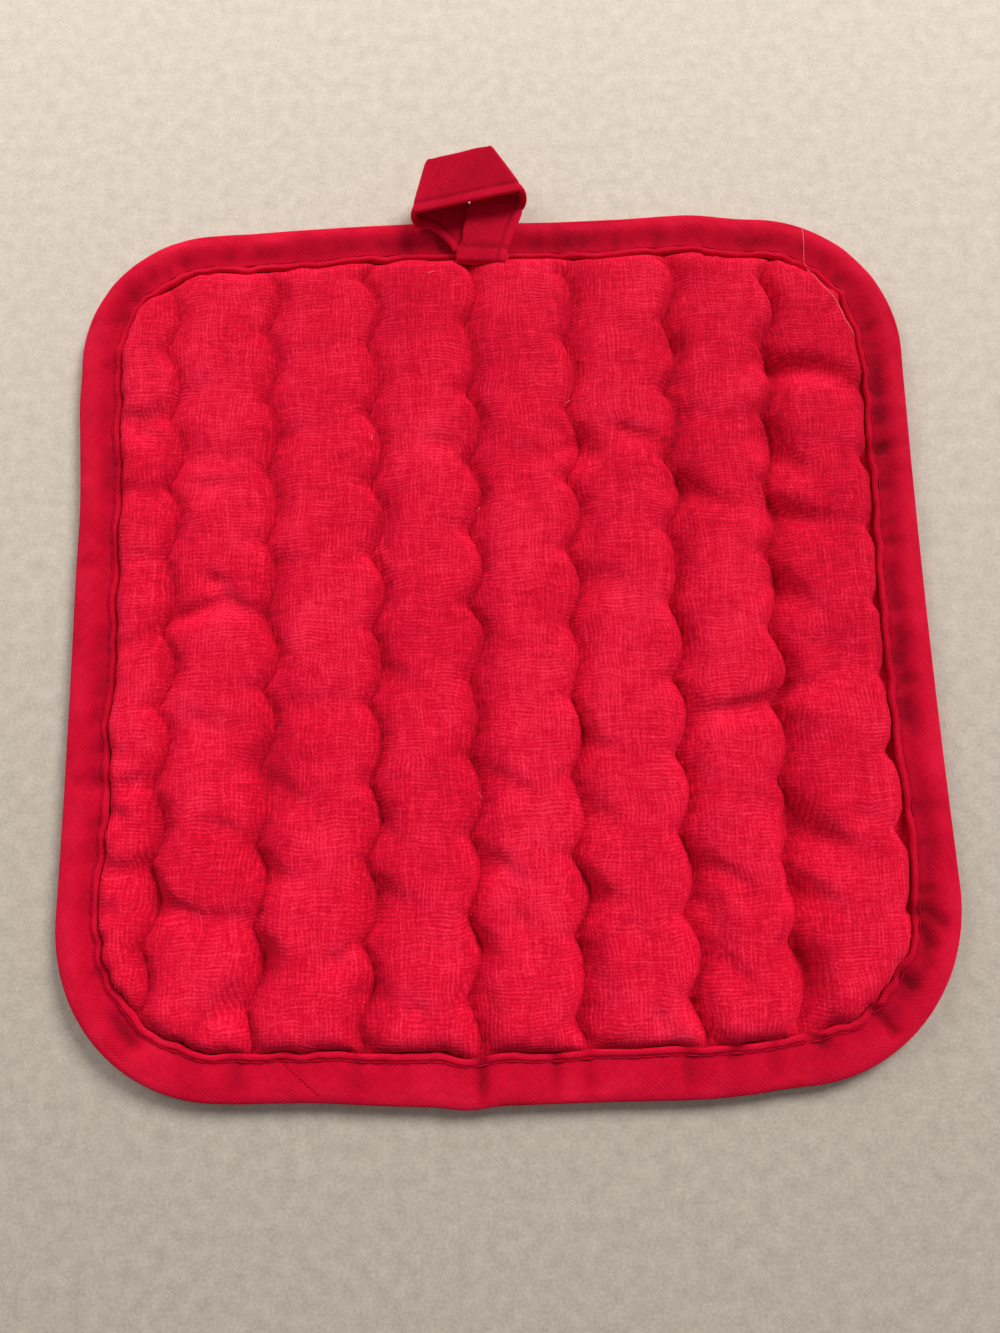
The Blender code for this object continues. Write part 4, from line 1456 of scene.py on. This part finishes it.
def streaks(tree, vector, scale, place):
    """Noise drawn out along one thread direction, for threads of uneven thickness."""
    mapping = add_node(tree, "Mapping", place, {"Vector": vector, "Scale": scale})
    texture = noise_node(tree, (place[0] + 200, place[1]), mapping.outputs["Vector"], 1.0, 2.0)
    texture.inputs["Roughness"].default_value = 0.6
    return texture.outputs["Fac"]


def thread_lines(tree, across, turns, clearness, place):
    """One set of threads: waves across it, as clear as each place shows them."""
    x, y = place
    angle = math_node(tree, "MULTIPLY", (x, y), across, turns)
    wave = math_node(tree, "SINE", (x + 160, y), angle)
    return math_node(tree, "MULTIPLY", (x + 440, y), wave, clearness)


def clear_share(tree, thickness, patches, gain, place):
    """How clearly one set of threads shows: more in some patches, less in others, and never the wrong way."""
    x, y = place
    patchy = math_node(tree, "MULTIPLY_ADD", (x - 120, y - 60), patches, gain, -0.5 * gain)
    thick = math_node(tree, "SUBTRACT", (x, y), thickness, CLEAR_FROM)
    total = math_node(tree, "ADD", (x - 60, y - 30), thick, patchy)
    return math_node(tree, "MAXIMUM", (x, y), total, 0.0)


def weave_group():
    """Plain-woven cotton: the threads' height, and how light each place is."""
    group, start, end = new_group(
        "plain_weave",
        (
            ("Millimetres", "NodeSocketVector", None),
            ("Thread Spacing", "NodeSocketFloat", PAD_CLOTH.spacing),
            ("Thread Contrast", "NodeSocketFloat", PAD_CLOTH.contrast),
            ("Slub Contrast", "NodeSocketFloat", PAD_CLOTH.slubs),
            ("Wander", "NodeSocketFloat", PAD_CLOTH.wander),
        ),
        (("Tone", "NodeSocketFloat"), ("Height", "NodeSocketFloat")),
    )
    vector = wandering(group, start)
    split = add_node(group, "SeparateXYZ", (-320, 200), {0: vector})
    turns = math_node(group, "DIVIDE", (-500, 380), 2.0 * math.pi, start.outputs["Thread Spacing"])
    warp_turns = math_node(group, "MULTIPLY", (-340, 380), turns, WARP_CLOSENESS)
    slubs = streaks(group, vector, WARP_SLUBS, (-320, -100))
    thick_weft = streaks(group, vector, WEFT_SLUBS, (-320, -350))
    fuzz = streaks(group, vector, FUZZ, (-320, -600))
    patches = streaks(group, vector, PATCHES, (-320, -850))
    warp_share = clear_share(group, slubs, patches, -PATCH_GAIN, (120, 500))
    weft_share = clear_share(group, thick_weft, patches, PATCH_GAIN, (120, 0))
    warp = thread_lines(group, split.outputs["X"], warp_turns, warp_share, (-160, 300))
    weft = thread_lines(group, split.outputs["Y"], turns, weft_share, (-160, 150))
    threads = math_node(group, "ADD", (440, 220), warp, weft)
    streak = math_node(group, "ADD", (120, -100), slubs, thick_weft)
    streak = math_node(group, "SUBTRACT", (280, -100), streak, 1.0)
    soft = math_node(group, "SUBTRACT", (280, -500), fuzz, 0.5)
    tone = math_node(group, "MULTIPLY", (560, 100), threads, start.outputs["Thread Contrast"])
    grain = math_node(group, "MULTIPLY_ADD", (440, -300), soft, FUZZ_GAIN, streak)
    grain = math_node(group, "MULTIPLY", (560, -300), grain, start.outputs["Slub Contrast"])
    plug(group, math_node(group, "ADD", (720, 0), tone, grain), end.inputs["Tone"])
    thickness = math_node(group, "MULTIPLY", (560, -150), streak, SLUB_HEIGHT)
    plug(group, math_node(group, "ADD", (720, 300), threads, thickness), end.inputs["Height"])
    return group


def cloth_tone(tree, vector, woven, cloth):
    """How light each place is, by its threads, the cloth's broad fading, and painted shade in its hollows and
    painted light where it stands higher.
    """
    fading = noise_node(tree, (-680, 260), vector, FADING_SCALE, 3.0).outputs["Fac"]
    fading = math_node(tree, "SUBTRACT", (-560, 260), fading, 0.5)
    fading = math_node(tree, "MULTIPLY", (-480, 260), fading, FADING_TONE)
    tone = math_node(tree, "MULTIPLY", (-480, 0), woven, WEAVE_TONE)
    tone = math_node(tree, "ADD", (-400, 100), tone, fading)
    # painted shade and light: below its usual value the relief darkens the colour, above it lightens it
    relief = add_node(tree, "Attribute", (-680, 480), {}, attribute_name="relief").outputs["Fac"]
    relief = math_node(tree, "MULTIPLY", (-480, 480), relief, cloth.hollow)
    relief = math_node(tree, "SUBTRACT", (-400, 480), relief, cloth.hollow * cloth.usual)
    tone = math_node(tree, "ADD", (-300, 300), tone, relief)
    return math_node(tree, "ADD", (-300, 100), tone, 0.5)


def cloth_material(name, cloth, weave, bias):
    """Woven cotton, on the object's own millimetres or, cut on the bias, on the tape's."""
    material, shader = new_material(name, COTTON_SHADER)
    tree = material.node_tree
    coordinates = add_node(tree, "TexCoord", (-1100, 0), {})
    to_millimetres = {
        "Vector": coordinates.outputs["UV" if bias else "Object"],
        "Scale": (1.0 / METRES, 1.0 / METRES, 1.0 / METRES),
        "Rotation": (0.0, 0.0, math.radians(bias)),
    }
    vector = add_node(tree, "Mapping", (-900, 0), to_millimetres).outputs["Vector"]
    threads = {
        "Millimetres": vector,
        "Thread Spacing": cloth.spacing,
        "Thread Contrast": cloth.contrast,
        "Slub Contrast": cloth.slubs,
        "Wander": cloth.wander,
    }
    pattern = add_node(tree, "Group", (-680, 0), threads, node_tree=weave)
    tone = cloth_tone(tree, vector, pattern.outputs["Tone"], cloth)
    stops = ((0.0, cloth.dark), (0.5, cloth.middle), (LIGHT_STOP, cloth.light))
    plug(tree, colour_ramp(tree, (-200, 150), tone, stops), shader.inputs["Base Color"])
    grain = {
        "Height": pattern.outputs["Height"],
        "Strength": THREAD_BUMP,
        "Distance": THREAD_HEIGHT * METRES,
    }
    bump = add_node(tree, "Bump", (-200, -200), grain)
    plug(tree, bump.outputs["Normal"], shader.inputs["Normal"])
    return material


def thread_material(name, colour):
    """Plain cotton thread or fibre."""
    material, shader = new_material(name, THREAD_SHADER)
    shader.inputs["Base Color"].default_value = colour
    return material


# ---------------------------------------------------------------- stage


def floor_material():
    """Pale matt paper, faintly mottled, with painted shade that darkens it a little towards the near edge."""
    material, shader = new_material("floor_paper", FLOOR_SHADER)
    tree = material.node_tree
    place = add_node(tree, "TexCoord", (-1100, 0), {}).outputs["Object"]
    mottles = []
    for scale, share in FLOOR_MOTTLES:
        height = 200 - 300 * len(mottles)
        mottle = noise_node(tree, (-800, height), place, scale, 2.0)
        mottles.append(math_node(tree, "MULTIPLY", (-600, height), mottle.outputs["Fac"], share))
    tone = math_node(tree, "ADD", (-400, 100), *mottles)
    split = add_node(tree, "SeparateXYZ", (-800, -400), {0: place})
    # painted shade: the floor darkens towards its near edge
    near_shade = math_node(tree, "MULTIPLY_ADD", (-600, -400), split.outputs["Y"], FLOOR_SHADE_RISE, FLOOR_TONE)
    tone = math_node(tree, "ADD", (-300, 0), tone, near_shade)
    colour = colour_ramp(tree, (-200, 0), tone, ((0.0, FLOOR_DARK), (1.0, FLOOR_LIGHT)))
    plug(tree, colour, shader.inputs["Base Color"])
    return material


def make_floor():
    """The flat ground that the object lies on."""
    bm = bmesh.new()
    bmesh.ops.create_grid(bm, x_segments=1, y_segments=1, size=FLOOR_SIZE)
    floor = mesh_object(bm, "floor", floor_material())
    floor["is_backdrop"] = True


def add_lamp(lamp):
    """A round lamp that points at its target."""
    light = bpy.data.lights.new(lamp.name, "AREA")
    light.shape = "DISK"
    light.size = lamp.size
    light.energy = lamp.power
    light.color = LAMP_COLOUR
    piece = add_object(lamp.name, light)
    piece.location = lamp.place
    aim = Vector(lamp.target) - Vector(lamp.place)
    piece.rotation_euler = aim.to_track_quat("-Z", "Y").to_euler()


def make_lights():
    """Both lamps, and the even light of the room."""
    for lamp in LAMPS:
        add_lamp(lamp)
    world = bpy.data.worlds.new("room")
    world.use_nodes = True
    background = world.node_tree.nodes["Background"]
    background.inputs["Color"].default_value = ROOM_COLOUR
    background.inputs["Strength"].default_value = ROOM_STRENGTH
    bpy.context.scene.world = world


def set_colours():
    """Colours are shown as they are, because a film-like view would dull a cloth as red as this one."""
    bpy.context.scene.view_settings.view_transform = "Standard"


def make_camera():
    """The camera, over the middle of the object and a little nearer to its lower edge."""
    lens = bpy.data.cameras.new("camera")
    lens.sensor_fit = "VERTICAL"
    lens.sensor_height = SENSOR
    lens.lens = LENS
    lens.clip_start = NEAREST_SEEN
    camera = add_object("camera", lens)
    tilt = Matrix.Rotation(CAMERA_TILT, 4, "X")
    roll = Matrix.Rotation(-CAMERA_ROLL, 4, "Z")
    camera.matrix_world = Matrix.Translation(CAMERA_PLACE) @ tilt @ roll
    bpy.context.scene.camera = camera


def write_sizes():
    """The boxes of the CAD model and of the visual model, as lists of their corners."""
    boxes = {"cad": cad_bounds, "visual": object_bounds()}
    sizes = {name: [list(corner) for corner in box] for name, box in boxes.items()}


def main():
    """The whole scene."""
    set_colours()
    make_camera()
    weave = weave_group()
    pad_cloth = cloth_material("pad_cotton", PAD_CLOTH, weave, 0.0)
    tape_cloth = cloth_material("tape_cotton", TAPE_CLOTH, weave, TAPE_BIAS)
    thread = thread_material("thread", THREAD_COLOUR)
    lint = thread_material("lint", LINT_COLOUR)
    make_pad(pad_cloth)
    make_binding(tape_cloth)
    make_loop(tape_cloth)
    make_row_stitches(thread)
    make_binding_stitches(thread)
    make_lint(lint)
    make_floor()
    make_lights()
    write_sizes()


main()
